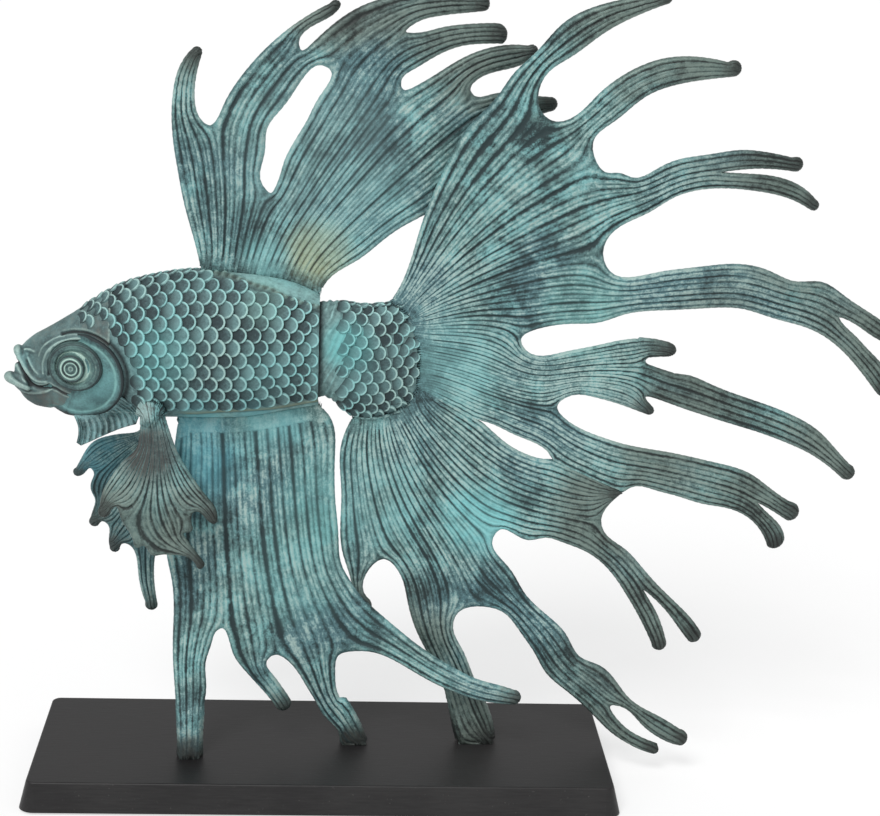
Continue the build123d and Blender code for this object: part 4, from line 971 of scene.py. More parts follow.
def scatter_tree():
    """Geometry Nodes that set copies of an object on points that carry two directions and a size,
    give each copy its own tone, and join them to the ground under them."""
    tree = bpy.data.node_groups.new("set_copies", "GeometryNodeTree")
    sockets = {}
    for name, kind in (("Points", "Geometry"), ("Copied piece", "Object"), ("Ground", "Object"),
                       ("Size spread", "Float"), ("Seed", "Int"), ("Finish", "Material")):
        sockets[name] = tree.interface.new_socket(name, in_out="INPUT",
                                                  socket_type="NodeSocket" + kind).identifier
    tree.interface.new_socket("Geometry", in_out="OUTPUT", socket_type="NodeSocketGeometry")
    made = {}
    for key, kind in (("in", "NodeGroupInput"), ("out", "NodeGroupOutput"),
                      ("copied", "GeometryNodeObjectInfo"), ("ground", "GeometryNodeObjectInfo"),
                      ("outward", "GeometryNodeInputNamedAttribute"),
                      ("tailward", "GeometryNodeInputNamedAttribute"),
                      ("reach", "GeometryNodeInputNamedAttribute"),
                      ("turned", "FunctionNodeAxesToRotation"),
                      ("spread", "FunctionNodeRandomValue"), ("sized", "ShaderNodeMath"),
                      ("narrow", "ShaderNodeMath"), ("set", "GeometryNodeInstanceOnPoints"),
                      ("tone", "FunctionNodeRandomValue"), ("toned", "GeometryNodeStoreNamedAttribute"),
                      ("real", "GeometryNodeRealizeInstances"), ("joined", "GeometryNodeJoinGeometry"),
                      ("dressed", "GeometryNodeSetMaterial")):
        made[key] = tree.nodes.new(kind)
    for key, kind in (("outward", "FLOAT_VECTOR"), ("tailward", "FLOAT_VECTOR"), ("reach", "FLOAT")):
        made[key].data_type = kind
        made[key].inputs["Name"].default_value = key
    made["turned"].primary_axis = "Z"
    made["turned"].secondary_axis = "X"
    made["narrow"].operation = "SUBTRACT"
    made["narrow"].inputs[0].default_value = 1
    made["sized"].operation = "MULTIPLY"
    made["toned"].domain = "INSTANCE"
    made["toned"].inputs["Name"].default_value = "tone"
    for source, output, target, place in (
            ("in", "Copied piece", "copied", "Object"), ("in", "Ground", "ground", "Object"),
            ("outward", "Attribute", "turned", "Primary Axis"),
            ("tailward", "Attribute", "turned", "Secondary Axis"),
            ("in", "Size spread", "narrow", 1), ("narrow", 0, "spread", 2),
            ("in", "Seed", "spread", "Seed"), ("spread", 1, "sized", 0),
            ("reach", "Attribute", "sized", 1), ("in", "Points", "set", "Points"),
            ("copied", "Geometry", "set", "Instance"), ("turned", "Rotation", "set", "Rotation"),
            ("sized", 0, "set", "Scale"), ("in", "Seed", "tone", "Seed"),
            ("set", "Instances", "toned", "Geometry"), ("tone", 1, "toned", "Value"),
            ("toned", "Geometry", "real", "Geometry"), ("real", "Geometry", "joined", "Geometry"),
            ("ground", "Geometry", "joined", "Geometry"), ("joined", "Geometry", "dressed", "Geometry"),
            ("in", "Finish", "dressed", "Material"), ("dressed", "Geometry", "out", "Geometry")):
        tree.links.new(made[source].outputs[output], made[target].inputs[place])
    return tree, sockets


set_copies, copy_sockets = scatter_tree()


def strewn(name, places, outward, tailward, reaches, copied, ground, spread, seed, finish):
    """Mesh of copies set on places and joined to a ground object, by the tree above."""
    mesh = bpy.data.meshes.new(name)
    mesh.from_pydata(places.tolist(), [], [])
    fill_traits(mesh, {"reach": reaches})
    for kind, ways in (("outward", outward), ("tailward", tailward)):
        layer = mesh.attributes.new(kind, "FLOAT_VECTOR", "POINT")
        layer.data.foreach_set("vector", np.asarray(ways, np.float32).ravel())
    holder = bpy.data.objects.new(name, mesh)
    for item in (holder, copied, ground):
        scene.collection.objects.link(item)
    modifier = holder.modifiers.new("copies", "NODES")
    modifier.node_group = set_copies
    for key, value in (("Copied piece", copied), ("Ground", ground), ("Size spread", spread),
                       ("Seed", seed), ("Finish", finish)):
        modifier[copy_sockets[key]] = value
    bpy.context.view_layer.update()
    made = bpy.data.meshes.new_from_object(
        holder.evaluated_get(bpy.context.evaluated_depsgraph_get()))
    for item in (holder, copied, ground):
        bpy.data.objects.remove(item)
    return made


def scale_places(sections, start, end, pitch, rows, keep):
    """Staggered places of scales on a body: their points, directions and half sizes."""
    columns, numbers = np.divmod(np.arange(int((end - start) / pitch * 2) * rows), rows)
    xs = end - columns * pitch / 2
    turns = (numbers + np.where(columns % 2, 0.5, 0)) / rows
    places = oval_points(sections, xs, turns)
    outward, tailward = oval_frame(sections, xs, turns)
    _, _, half_height = oval_sizes(sections, xs)
    kept = keep(places)
    reach = pitch * 0.6 * (0.25 + 0.75 * half_height / sections[:, 3].max())
    return places[kept], outward[kept], tailward[kept], reach[kept]


hollow_dark = srgb(46, 62, 66)
hollow_pale = srgb(104, 138, 139)
ground_dark = srgb(70, 96, 98)
ground_pale = srgb(126, 158, 156)
rim_grey = srgb(156, 188, 184)
rim_green = srgb(136, 190, 190)
under_scale_patina_and_shade = srgb(40, 52, 54)
seam_stain = srgb(112, 120, 98)
groove_shade = srgb(30, 36, 38)


def scaled_finish(name, patches):
    """Verdigris on scales: pale on the rims, dark in the hollows, each scale in its own tone, darker
    at its front with dark patina and painted shade where the scale ahead overlaps it, and with
    painted shade in the grooves.
    """
    made, shader, place = new_finish(name)
    rim, dip, tone, groove, bare, stain = traits_of(
        place, ("rim", "dip", "tone", "groove", "bare", "stain"))
    broad = place.grain(16, 2)
    mottled = place.grain(300, 4, 0.65)
    sandy = place.grain(720, 3, 0.7)
    worn = place.grain(75, 3, 0.6)
    hollow = tone * 0.4 + mottled * 0.5 + sandy * 0.4 + broad * 0.3 - 0.1
    hollow = hollow.step(0.45, 0.95).between(hollow_dark, hollow_pale)
    ground = (mottled * 0.7 + broad * 0.4).step(0.3, 0.8).between(ground_dark, ground_pale)
    base = bare.held().between(hollow, ground)
    lit = (rim * (worn * 1.2 + 0.4) + mottled * 0.5 + sandy * 0.3 - 0.5).step(0.1, 0.8)
    rim_tone = broad.step(0.35, 0.65).between(rim_grey, rim_green)
    colour = lit.between(base, rim_tone)
    # Darker at each scale's front, under the scale ahead: partly dark patina, partly painted shade.
    colour = (dip * (1 - bare.held()) * 0.8).held().between(colour, under_scale_patina_and_shade)
    colour = patched(colour, place, patches, 0.3,
                     (mottled * 0.5 + 0.55) * (rim * 0.5 + bare * 0.5 + 0.35))
    colour = (stain * 0.8).held().between(colour, seam_stain)
    # Painted shade in the grooves: at the gap by the rim, in the crevice round the gill cover, between
    # the beads, under the rope ridge and below the belly roll.
    colour = groove.held().between(colour, groove_shade)
    fill(shader, {"Base Color": colour, "Roughness": 0.72 - lit * 0.12 - sandy * 0.1,
                  "Metallic": 0.15, "Specular IOR Level": 0.35,
                  "Normal": bumped(mottled * 0.5 + sandy * 0.5, 0.6, 0.0006)})
    return made


stem_step = 0.0008
stem_sides = 300
wrinkle_pitch = 0.0052
wrinkle_height = 0.0007
wrinkle_middle = 0.008
wrinkle_reach = 0.011
stem_lump = 0.0004
tail_root = 0.066
stem_scale_pitch = 0.0082
stem_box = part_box("tail_stem")
rim_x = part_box("body_shell")[1].x
stem_sections = oval_sections("tail_stem", rim_x - 0.01, stem_box[1].x - 0.0005)
stem_x = np.arange(stem_sections[0, 0], stem_box[1].x - 0.002, stem_step)
stem_places = np.meshgrid(stem_x, np.arange(stem_sides) / stem_sides, indexing="ij")
stem_grid = oval_points(stem_sections, *stem_places)
stem_out, _ = oval_frame(stem_sections, *stem_places)
behind_rim = stem_grid[..., 0] - rim_x
slant = stem_grid[..., 0] - 0.55 * (stem_grid[..., 2] - stem_sections[0, 1])
wrinkle = np.sin(slant / wrinkle_pitch * 2 * math.pi + 2.5 * waves(stem_grid, 0.012))
wrinkle_share = np.clip(1 - np.abs(behind_rim - wrinkle_middle) / wrinkle_reach, 0, 1)
stem_push = (wrinkle_height * wrinkle * wrinkle_share + stem_lump * waves(stem_grid, 0.02)
             - stem_lump)
# The groove trait paints shade where the stem comes out of the fore body's rim.
stem_traits = {"rim": 0.12 + 0.4 * wrinkle * wrinkle_share, "bare": 1, "tone": 0.5, "dip": 0,
               "stain": 0, "groove": np.clip(1 - behind_rim / 0.004, 0, 1)}
stem_ground = bpy.data.objects.new("stem_ground", grid_mesh(
    "stem_ground", stem_grid + stem_out * stem_push[..., None], stem_traits))


def on_stem(places):
    """Which scales the stem has: those behind its wrinkles, up to the roots of the tail's rays."""
    over_middle = places[:, 2] - stem_sections[:, 1].mean()
    arc = places[:, 0] - rim_x - tail_root + (over_middle / 0.1) ** 2 * 0.04
    return (places[:, 0] > rim_x + wrinkle_reach) & (arc < 0)


stem_finish = scaled_finish("patina_on_stem", [((0.012, 0.314, 0.024), srgb(112, 186, 186), 1.0),
                                               ((0.02, 0.29, 0.022), turquoise, 0.5)])
stem_scales = scale_places(stem_sections, rim_x + wrinkle_middle, stem_box[1].x,
                           stem_scale_pitch, 12, on_stem)
stem_mesh = strewn("stem_copies", *stem_scales, scale_template("stem_scale"), stem_ground, 0.12, 3,
                   stem_finish)
settle(stem_mesh, "scaled_stem", stem_finish, "tail_stem")

# Fore body: a hollow bronze casting, with scales in staggered rows from the nape to a sharp rim,
# a rope-like ridge along the dorsal fin's root and a smooth band along the belly.
body_step = 0.001
body_sides = 320
body_scale_pitch = 0.0096
bead_pitch = 0.0052
bead_line_height = 0.0012
bead_height = 0.0009
roll_height = 0.0014
saddle_height = 0.0006
crevice_depth = 0.0012
crest_gap = 0.0022
belly_gap = 0.0045
cheek_gap = 0.0065
rim_depth = 0.012
rim_wall = 0.0016
rim_drop = 0.006
body_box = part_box("body_shell")
body_sections = oval_sections("body_shell", body_box[0].x, rim_x - 0.0005)
cheek = sum(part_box("left_gill_cover"), Vector()) / 2
cheek_radius = (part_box("left_gill_cover")[1].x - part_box("left_gill_cover")[0].x) / 2
head_sections = oval_sections("head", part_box("head")[0].x + 0.006, body_box[0].x - 0.001)
fish_sections = np.vstack([head_sections, body_sections])
scales_start = cheek.x - 0.006
scales_end = rim_x - 0.0052
body_x = np.concatenate([np.arange(body_box[0].x - 0.001, rim_x, body_step), [rim_x] * 3,
                         [rim_x - 0.002, rim_x - rim_depth]])
inset = np.zeros(len(body_x))
inset[-4:] = [rim_wall * 0.5, rim_wall, rim_wall, rim_drop]
body_places = np.meshgrid(body_x, np.arange(body_sides) / body_sides, indexing="ij")
body_grid = oval_points(fish_sections, *body_places)
body_out, _ = oval_frame(fish_sections, *body_places)
crest_seam = np.array([(-0.0885, 0.3618), (-0.0792, 0.3598), (-0.0717, 0.3591), (-0.0629, 0.3571),
                       (-0.0548, 0.3547), (-0.0467, 0.3525), (-0.0414, 0.3516), (-0.0326, 0.3475),
                       (-0.0239, 0.3441), (-0.0143, 0.3414), (-0.006, 0.339)])
belly_seam = np.array([(-0.105, 0.264), (-0.09, 0.2645), (-0.074, 0.2666), (-0.057, 0.2675),
                       (-0.04, 0.2685), (-0.027, 0.2708), (-0.0169, 0.2732), (-0.006, 0.275)])
over_crest = body_grid[..., 2] - np.interp(body_grid[..., 0], *crest_seam.T)
over_belly = body_grid[..., 2] - np.interp(body_grid[..., 0], *belly_seam.T)
behind_crest = np.clip((body_grid[..., 0] - crest_seam[0, 0]) / 0.004, 0, 1)
behind_belly = np.clip((body_grid[..., 0] - belly_seam[0, 0]) / 0.01, 0, 1)
beads = np.cos((body_grid[..., 0] - 0.8 * over_crest) / bead_pitch * 2 * math.pi)
bead_line = np.exp(-(over_crest / 0.0014) ** 2) * behind_crest
belly_roll = np.exp(-((over_belly - 0.0005) / 0.0011) ** 2) * behind_belly
saddle = np.clip(over_crest / 0.001, 0, 1) * behind_crest
keel = np.clip(-over_belly / 0.001, 0, 1) * behind_belly
to_cheek = np.hypot(body_grid[..., 0] - cheek.x, body_grid[..., 2] - cheek.z)
crevice = np.clip(1 - np.abs(to_cheek - cheek_radius - 0.002) / 0.003, 0, 1)
body_push = (0.0005 * waves(body_grid, 0.03) - 0.0007 + saddle_height * saddle
             + roll_height * belly_roll + bead_line * (bead_line_height + bead_height * beads)
             - crevice_depth * crevice)
inner = np.zeros_like(over_crest)
inner[-2:] = 1
body_push = (1 - inner) * body_push - inset[:, None]
# Painted shade, through the groove trait: inside the rim, in the crevice round the gill cover, between
# the beads, under the rope ridge and below the belly roll.
under_crest = 0.6 * np.exp(-((over_crest + crest_gap) / 0.001) ** 2) * behind_crest
over_roll = 0.6 * np.exp(-((over_belly + 0.0015) / 0.0009) ** 2) * behind_belly
between_beads = 0.75 * bead_line * np.clip(-beads, 0, 1)
body_traits = {
    "rim": 0.2 + 0.35 * np.maximum(saddle, keel) + 0.3 * bead_line * beads, "tone": 0.5, "dip": 0,
    "bare": np.maximum.reduce([saddle, keel, belly_roll, np.full_like(saddle, 0.25)]),
    "stain": belly_roll + 0.4 * bead_line,
    "groove": np.maximum.reduce([inner, crevice, between_beads, under_crest, over_roll])}
body_ground = bpy.data.objects.new("body_ground", grid_mesh(
    "body_ground", body_grid + body_out * body_push[..., None], body_traits))


def on_body(places):
    """Which scales the fore body has: behind the cheek and the nape, and between the seams."""
    from_cheek = np.hypot(places[:, 0] - cheek.x, places[:, 2] - cheek.z)
    nape = places[:, 2] > cheek.z + 0.036 - (places[:, 0] - cheek.x) * 0.25
    clear = (from_cheek > cheek_radius + cheek_gap) & ((places[:, 0] > cheek.x + 0.01) | nape)
    below = places[:, 2] < np.interp(places[:, 0], *crest_seam.T) - crest_gap
    above = places[:, 2] > np.interp(places[:, 0], *belly_seam.T) + belly_gap
    fore = places[:, 0] < crest_seam[0, 0]
    return clear & (below | fore) & above & (places[:, 0] > scales_start)


body_finish = scaled_finish("patina_on_body", [
    ((-0.112, 0.305, 0.03), srgb(128, 198, 198), 0.8), ((-0.045, 0.295, 0.03), turquoise, 0.45),
    ((-0.045, 0.342, 0.02), srgb(138, 186, 178), 0.6), ((-0.05, 0.262, 0.02), srgb(104, 170, 178), 0.6),
    ((-0.09, 0.262, 0.02), srgb(104, 170, 178), 0.6), ((-0.01, 0.31, 0.02), turquoise, 0.4)])
body_scales = scale_places(fish_sections, scales_start, scales_end, body_scale_pitch, 15, on_body)
body_mesh = strewn("body_copies", *body_scales, scale_template("body_scale"), body_ground, 0.1, 5,
                   body_finish)
settle(body_mesh, "scaled_body", body_finish, "body_shell")

# Head: forehead, jaws and cheeks, one hollow bronze casting with lips and folds, pinned to the
# fore body by a sleeve. Its forms are merged into one skin, and creases are then pressed into it.
head_voxel = 0.0006
head_lap = 0.003
jaw_reach = 0.016
head_sides = 96
both_sides = {"left": -1, "right": 1}


def smoothed(line, rounds):
    """A line with its inner points drawn to their neighbours some times."""
    for _ in range(rounds):
        line[1:-1] = (line[:-2] + 2 * line[1:-1] + line[2:]) / 4
    return line


def bar(points, radii, sides=14):
    """Rounded bar through points: its own points and faces."""
    runs = runs_along(points)
    places = np.linspace(0, runs[-1], max(8, 2 + round(runs[-1] / 0.0012)))
    line = smoothed(points_at(places, runs, points), 4)
    thick = np.interp(places, runs, radii)
    thick = thick * rounded(np.minimum(places, runs[-1] - places) / thick, 0.02)
    ahead = np.gradient(line, axis=0)
    ahead /= np.linalg.norm(ahead, axis=1, keepdims=True)
    sideways = np.cross(ahead, (0.3, 0.2, 0.93))
    sideways /= np.linalg.norm(sideways, axis=1, keepdims=True)
    upright = np.cross(sideways, ahead)
    angles = (2 * math.pi * np.arange(sides) / sides)[None, :, None]
    rings = line[:, None] + thick[:, None, None] * (np.cos(angles) * sideways[:, None]
                                                    + np.sin(angles) * upright[:, None])
    return rings.reshape(-1, 3), ring_faces(len(rings), sides)


def flank(x, z):
    """How far the fish's flank stands out over a point of its side view."""
    middle, half_width, half_height = oval_sizes(fish_sections, x)
    return half_width * np.sqrt(np.clip(1 - ((z - middle) / half_height) ** 2, 0.01, 1))


def evened(points, edges, rounds):
    """Points of a mesh, each drawn to the middle of its neighbours some times."""
    ends = np.concatenate([edges, edges[:, ::-1]])
    counts = np.bincount(ends[:, 0], minlength=len(points))[:, None]
    for _ in range(rounds):
        sums = np.stack([np.bincount(ends[:, 0], points[ends[:, 1], axis], len(points))
                         for axis in range(3)], axis=1)
        points = (points + sums / np.maximum(counts, 1)) / 2
    return points


def mesh_arrays(mesh):
    """A mesh's points, normals and edges."""
    points, normals = np.zeros(len(mesh.vertices) * 3), np.zeros(len(mesh.vertices) * 3)
    edges = np.zeros(len(mesh.edges) * 2, int)
    mesh.vertices.foreach_get("co", points)
    mesh.vertex_normals.foreach_get("vector", normals)
    mesh.edges.foreach_get("vertices", edges)
    return points.reshape(-1, 3), normals.reshape(-1, 3), edges.reshape(-1, 2)


def moulded(name, forms, voxel, rounds):
    """Merges closed forms that overlap into one skin of small even faces."""
    points, faces = [], []
    for form_points, form_faces in forms:
        first = sum(len(group) for group in points)
        points.append(form_points)
        faces += [tuple(first + index for index in face) for face in form_faces]
    mesh = bpy.data.meshes.new(name)
    mesh.from_pydata(np.vstack(points).tolist(), [], faces)
    holder = bpy.data.objects.new(name, mesh)
    scene.collection.objects.link(holder)
    modifier = holder.modifiers.new("merge", "REMESH")
    modifier.mode = "VOXEL"
    modifier.voxel_size = voxel
    bpy.context.view_layer.update()
    made = bpy.data.meshes.new_from_object(
        holder.evaluated_get(bpy.context.evaluated_depsgraph_get()))
    bpy.data.objects.remove(holder)
    even, _, edges = mesh_arrays(made)
    made.vertices.foreach_set("co", evened(even, edges, rounds).ravel())
    made.update()
    return made


def press(mesh, line, width, depth):
    """Presses a groove into a mesh along a line of its side view, and says where it is."""
    points, normals, _ = mesh_arrays(mesh)
    runs = runs_along(line)
    dense = smoothed(points_at(np.arange(0, runs[-1], 0.0003), runs, line), 30)
    near = np.exp(-(distances(points[:, [0, 2]], nearest_tree(dense)) / width) ** 2)
    mesh.vertices.foreach_set("co", (points - normals * (depth * near)[:, None]).ravel())
    mesh.update()
    return near


def cast(mesh, name, finish, node, grooves=0, fine=0.0004):
    """Finishes a cast piece: slightly uneven, with what stands out and what lies deep marked."""
    points, normals, edges = mesh_arrays(mesh)
    standing = ((points - evened(points, edges, 14)) * normals).sum(axis=1)
    uneven = 0.0003 * waves(points, 0.012) + 0.00012 * waves(points, 0.0035, 4.0)
    mesh.vertices.foreach_set("co", (points + normals * uneven[:, None]).ravel())
    mesh.update()
    fill_traits(mesh, {"ridge": np.clip(standing / fine, -1, 1),
                       "groove": np.broadcast_to(grooves, len(points))})
    settle(mesh, name, finish, node)


blotch_dark = srgb(54, 76, 78)
fold_dark = srgb(40, 50, 52)
cast_brown = srgb(84, 84, 80)
crease_shade = srgb(24, 28, 30)


def cast_finish(name, ground_colour, ridge_colour, patches=(), brown_share=0.0, contrast=1.0):
    """Verdigris on a smooth casting: pale where it stands out, dark where it lies deep, with painted
    shade in its pressed creases.
    """
    made, shader, place = new_finish(name)
    ridge, groove = traits_of(place, ("ridge", "groove"))
    ridge = ridge * contrast
    broad = place.grain(28, 3)
    blotchy = place.grain(95, 3, 0.6)
    mottled = place.grain(240, 4, 0.65)
    sandy = place.grain(720, 3, 0.7)
    lit = (ridge * 0.75 + mottled * 0.75 + broad * 0.35 + sandy * 0.4 - 0.4).held()
    blotches = (broad * 0.3 + blotchy * 0.7 + mottled * 0.3 + sandy * 0.5).step(0.72, 1.08)
    colour = blotches.between(ground_colour, blotch_dark)
    colour = lit.step(0.35, 0.9).between(colour, ridge_colour)
    colour = patched(colour, place, patches, 0.3, mottled * 0.6 + 0.5)
    deep = (ridge * -1.1 + mottled * 0.3 - 0.15).held()
    colour = deep.between(colour, fold_dark)
    brown = (broad + mottled * 0.6 + brown_share - 1.1).step(0, 0.5)
    colour = brown.between(colour, cast_brown)
    # Painted shade in the pressed creases.
    colour = groove.held().between(colour, crease_shade)
    fill(shader, {"Base Color": colour, "Roughness": 0.68 - lit * 0.12 - sandy * 0.1,
                  "Metallic": 0.15, "Specular IOR Level": 0.35,
                  "Normal": bumped(mottled * 0.6 + sandy * 0.4, 0.6, 0.0006)})
    return made


head_x = np.append(np.arange(head_sections[0, 0], body_box[0].x, section_step),
                   body_box[0].x + head_lap)
head_places = np.meshgrid(head_x, np.arange(head_sides) / head_sides, indexing="ij")
head_grid = oval_points(fish_sections, *head_places)
to_tip = np.clip((head_x - head_x[0]) / jaw_reach, 0, 1)
slim = np.sqrt(np.clip(1 - (1 - to_tip) ** 2, 0.02, 1))[:, None]
snout_middle = np.interp(head_x, fish_sections[:, 0], fish_sections[:, 1])[:, None]
head_grid[..., 1] *= 0.75 * slim + 0.25
head_grid[..., 2] = snout_middle + (head_grid[..., 2] - snout_middle) * (0.45 + 0.55 * slim)
forms = [(head_grid.reshape(-1, 3), ring_faces(len(head_x), head_sides))]
snout = [(-0.198, 0.2992), (-0.2035, 0.3008), (-0.2075, 0.3018), (-0.2098, 0.3028)]
chin = [(-0.198, 0.2798), (-0.2055, 0.2816), (-0.212, 0.2836), (-0.2162, 0.2842)]
for line, radii in ((snout, [0.0105, 0.0085, 0.0058, 0.0042]),
                    (chin, [0.0125, 0.0088, 0.0058, 0.0042])):
    forms.append(bar([(x, 0, z) for x, z in line], radii))
upper_lip = [(-0.2005, -0.0098, 0.2868), (-0.2045, -0.0085, 0.292), (-0.208, -0.0066, 0.2982),
             (-0.2105, -0.0038, 0.3032), (-0.2108, 0, 0.304)]
lower_lip = [(-0.2015, -0.009, 0.278), (-0.207, -0.008, 0.2802), (-0.2128, -0.006, 0.2824),
             (-0.2166, -0.0032, 0.2845), (-0.2172, 0, 0.2848)]
for half, radii in ((upper_lip, [0.0015, 0.0018, 0.002, 0.0029, 0.0031]),
                    (lower_lip, [0.0018, 0.0022, 0.0026, 0.0034, 0.0035])):
    other = [(x, -y, z) for x, y, z in half[-2::-1]]
    forms.append(bar(half + other, radii + radii[-2::-1]))
folds = {
    "maxilla": ([(-0.2065, 0.3015), (-0.2045, 0.293), (-0.2005, 0.2867), (-0.196, 0.2839),
                 (-0.189, 0.2846)], 0.0015),
    "jaw": ([(-0.2095, 0.2785), (-0.206, 0.2755), (-0.2, 0.2752), (-0.1935, 0.2762),
             (-0.1885, 0.278), (-0.1862, 0.2815)], 0.0012),
    "below_eye": ([(-0.1845, 0.2795), (-0.179, 0.2762), (-0.172, 0.274), (-0.163, 0.2752)], 0.001),
    "brow": ([(-0.192, 0.2885), (-0.1925, 0.297), (-0.19, 0.3045), (-0.1845, 0.3098),
              (-0.1795, 0.3125), (-0.172, 0.3148), (-0.163, 0.3158)], 0.0013),
    "nostril": ([(-0.1955, 0.3), (-0.1938, 0.3065), (-0.1895, 0.3105), (-0.1835, 0.3142),
                 (-0.177, 0.3168)], 0.001),
    "nose_plate": ([(-0.2035, 0.3005), (-0.2005, 0.2952), (-0.1975, 0.2908), (-0.1945, 0.2885)],
                   0.0012),
    "nose": ([(-0.2065, 0.3045), (-0.2015, 0.3052), (-0.1975, 0.3035)], 0.0013)}
for line, radius in folds.values():
    thick = radius * np.interp(np.linspace(0, 1, len(line)), [0, 0.5, 1], [0.7, 1, 0.6])
    for side in both_sides.values():
        forms.append(bar([(x, side * flank(x, z) * 0.985, z) for x, z in line], thick))
head_mesh = moulded("head_skin", forms, head_voxel, 3)
cover_angles = np.radians(range(35, 118, 6))
cover_line = np.stack([cheek.x + (cheek_radius + 0.0012) * np.cos(cover_angles),
                       cheek.z + (cheek_radius + 0.0012) * np.sin(cover_angles)], axis=1)
# Creases: each one's line, width, depth, and how strongly painted shade darkens it.
creases = {
    "mouth": ([(-0.2155, 0.2952), (-0.2108, 0.2958), (-0.2075, 0.2905), (-0.2045, 0.2855),
               (-0.2012, 0.2815), (-0.197, 0.2795), (-0.1925, 0.2797), (-0.1885, 0.2812)],
              0.0014, 0.0022, 1),
    "brow": ([(-0.1887, 0.2898), (-0.1888, 0.2985), (-0.186, 0.3052), (-0.1808, 0.3098),
              (-0.176, 0.3124), (-0.168, 0.3135), (-0.1585, 0.312)], 0.0009, 0.001, 0.75),
    "below_eye": ([(-0.1885, 0.2812), (-0.1835, 0.2797), (-0.179, 0.277), (-0.1735, 0.2752),
                   (-0.1645, 0.276)], 0.001, 0.0011, 0.7),
    "gill_cover": (cover_line, 0.0011, 0.0012, 0.7)}
pressed = np.maximum.reduce([shade_share * press(head_mesh, line, width, depth)
                             for line, width, depth, shade_share in creases.values()])
head_finish = cast_finish("patina_on_head", srgb(96, 122, 122), srgb(150, 176, 170), [
    ((-0.182, 0.265, 0.014), srgb(108, 164, 162), 0.6), ((-0.2, 0.267, 0.016), srgb(54, 72, 72), 0.95),
    ((-0.205, 0.298, 0.009), turquoise, 0.3), ((-0.195, 0.302, 0.011), srgb(72, 92, 90), 0.5)],
    0.42, 1.1)
cast(head_mesh, "moulded_head", head_finish, "head", pressed)

# Eyes: turned bronze bosses of rings, set in the head on round tenons. Each has a broad outer ring
# that lies a little further back, and the rings are pale on their crests and dark between.
eye_sides = 120
eye_low, eye_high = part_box("left_eye")
eye_x = (eye_low.x + eye_high.x) / 2 + 0.001
eye_z = (eye_low.z + eye_high.z) / 2 + 0.0012
outer_ring_start = 0.0098
outer_ring_blend = 0.003
seat_span = 0.006
profile_step = 0.0003
droop_start = 0.008
droop_rate = 14
ring_shift = (0.0028, 0.0008)
ring_stretch = (0.085, -0.03)
eye_profile = [(0, 0.004), (0.0014, 0.0041), (0.0026, 0.0048), (0.0034, 0.0047), (0.0042, 0.0043),
               (0.005, 0.0054), (0.0057, 0.0054), (0.0063, 0.0041), (0.007, 0.0039),
               (0.0079, 0.0045), (0.0088, 0.0047), (0.0094, 0.0038), (0.01, 0.0014),
               (0.0107, 0.0006), (0.0114, 0.0014), (0.0126, 0.0028), (0.0142, 0.0034),
               (0.0158, 0.0034), (0.0168, 0.0022), (0.0174, -0.0004), (0.0176, -0.004)]
eye_finish = cast_finish("patina_on_eyes", srgb(98, 130, 126), srgb(166, 194, 184), contrast=1.6)
eye_runs = runs_along(eye_profile)
radius, height = points_at(np.arange(0.0002, eye_runs[-1], profile_step), eye_runs, eye_profile).T
height = smoothed(height, 1)
moved = np.clip((radius - outer_ring_start) / outer_ring_blend, 0, 1)[:, None]
seat_slope = (flank(eye_x + seat_span, eye_z) - flank(eye_x - seat_span, eye_z)) / (2 * seat_span)
for side_name, side in both_sides.items():
    angles = side * 2 * math.pi * np.arange(eye_sides) / eye_sides
    rings = np.zeros((len(radius), eye_sides, 3))
    for axis, middle, wave, shift, stretch in zip((0, 2), (eye_x, eye_z), (np.cos, np.sin),
                                                  ring_shift, ring_stretch):
        wide = radius[:, None] * (1 + stretch * moved)
        rings[..., axis] = middle + shift * moved + wide * wave(angles)
    seat = flank(eye_x, eye_z) + seat_slope * (rings[..., 0] - eye_x)
    droop = np.clip(np.abs(rings[..., 2] - eye_z) - droop_start, 0, 1) ** 2 * droop_rate
    rings[..., 1] = side * (seat - droop + height[:, None])
    eye_mesh = grid_mesh(side_name + "_eye_rings", rings[::-1], {})
    cast(eye_mesh, side_name + "_eye_rings", eye_finish, side_name + "_eye", fine=0.0003)

# Gill covers: bronze plates fitted to the flanks, that swell behind the eye to a raised rear edge
# over a crevice, which painted shade on the head and the body darkens. Towards the snout each one
# sinks into the cheek.
cover_sides = 240
cover_finish = cast_finish("patina_on_gill_covers", srgb(96, 138, 138), srgb(126, 172, 168), [
    ((-0.155, 0.285, 0.02), srgb(112, 170, 172), 0.5), ((-0.17, 0.265, 0.016), turquoise, 0.4)])
shares = np.concatenate([np.linspace(0.02, 0.96, 44), [0.975, 0.99, 1.0, 1.0, 0.99]])
rise = np.interp(shares, [0, 0.6, 0.82, 0.92, 0.97, 1.0],
                 [0.001, 0.0014, 0.0012, 0.003, 0.0034, 0.0026])
rise[-2:] = [-0.002, -0.006]
for side_name, side in both_sides.items():
    angles = side * 2 * math.pi * np.arange(cover_sides) / cover_sides
    shown = np.interp(np.degrees(np.arctan2(np.sin(angles), np.cos(angles))),
                      [-140, -112, 72, 112], [0, 1, 1, 0])
    rings = np.zeros((len(shares), cover_sides, 3))
    rings[..., 0] = cheek.x + cheek_radius * shares[:, None] * np.cos(angles)
    rings[..., 2] = cheek.z + cheek_radius * shares[:, None] * np.sin(angles)
    lift = rise[:, None] * shown - 0.0025 * (1 - shown)
    rings[..., 1] = side * (flank(rings[..., 0], rings[..., 2]) + lift)
    cover_mesh = grid_mesh(side_name + "_gill_plate", rings[::-1], {})
    cast(cover_mesh, side_name + "_gill_plate", cover_finish, side_name + "_gill_cover")

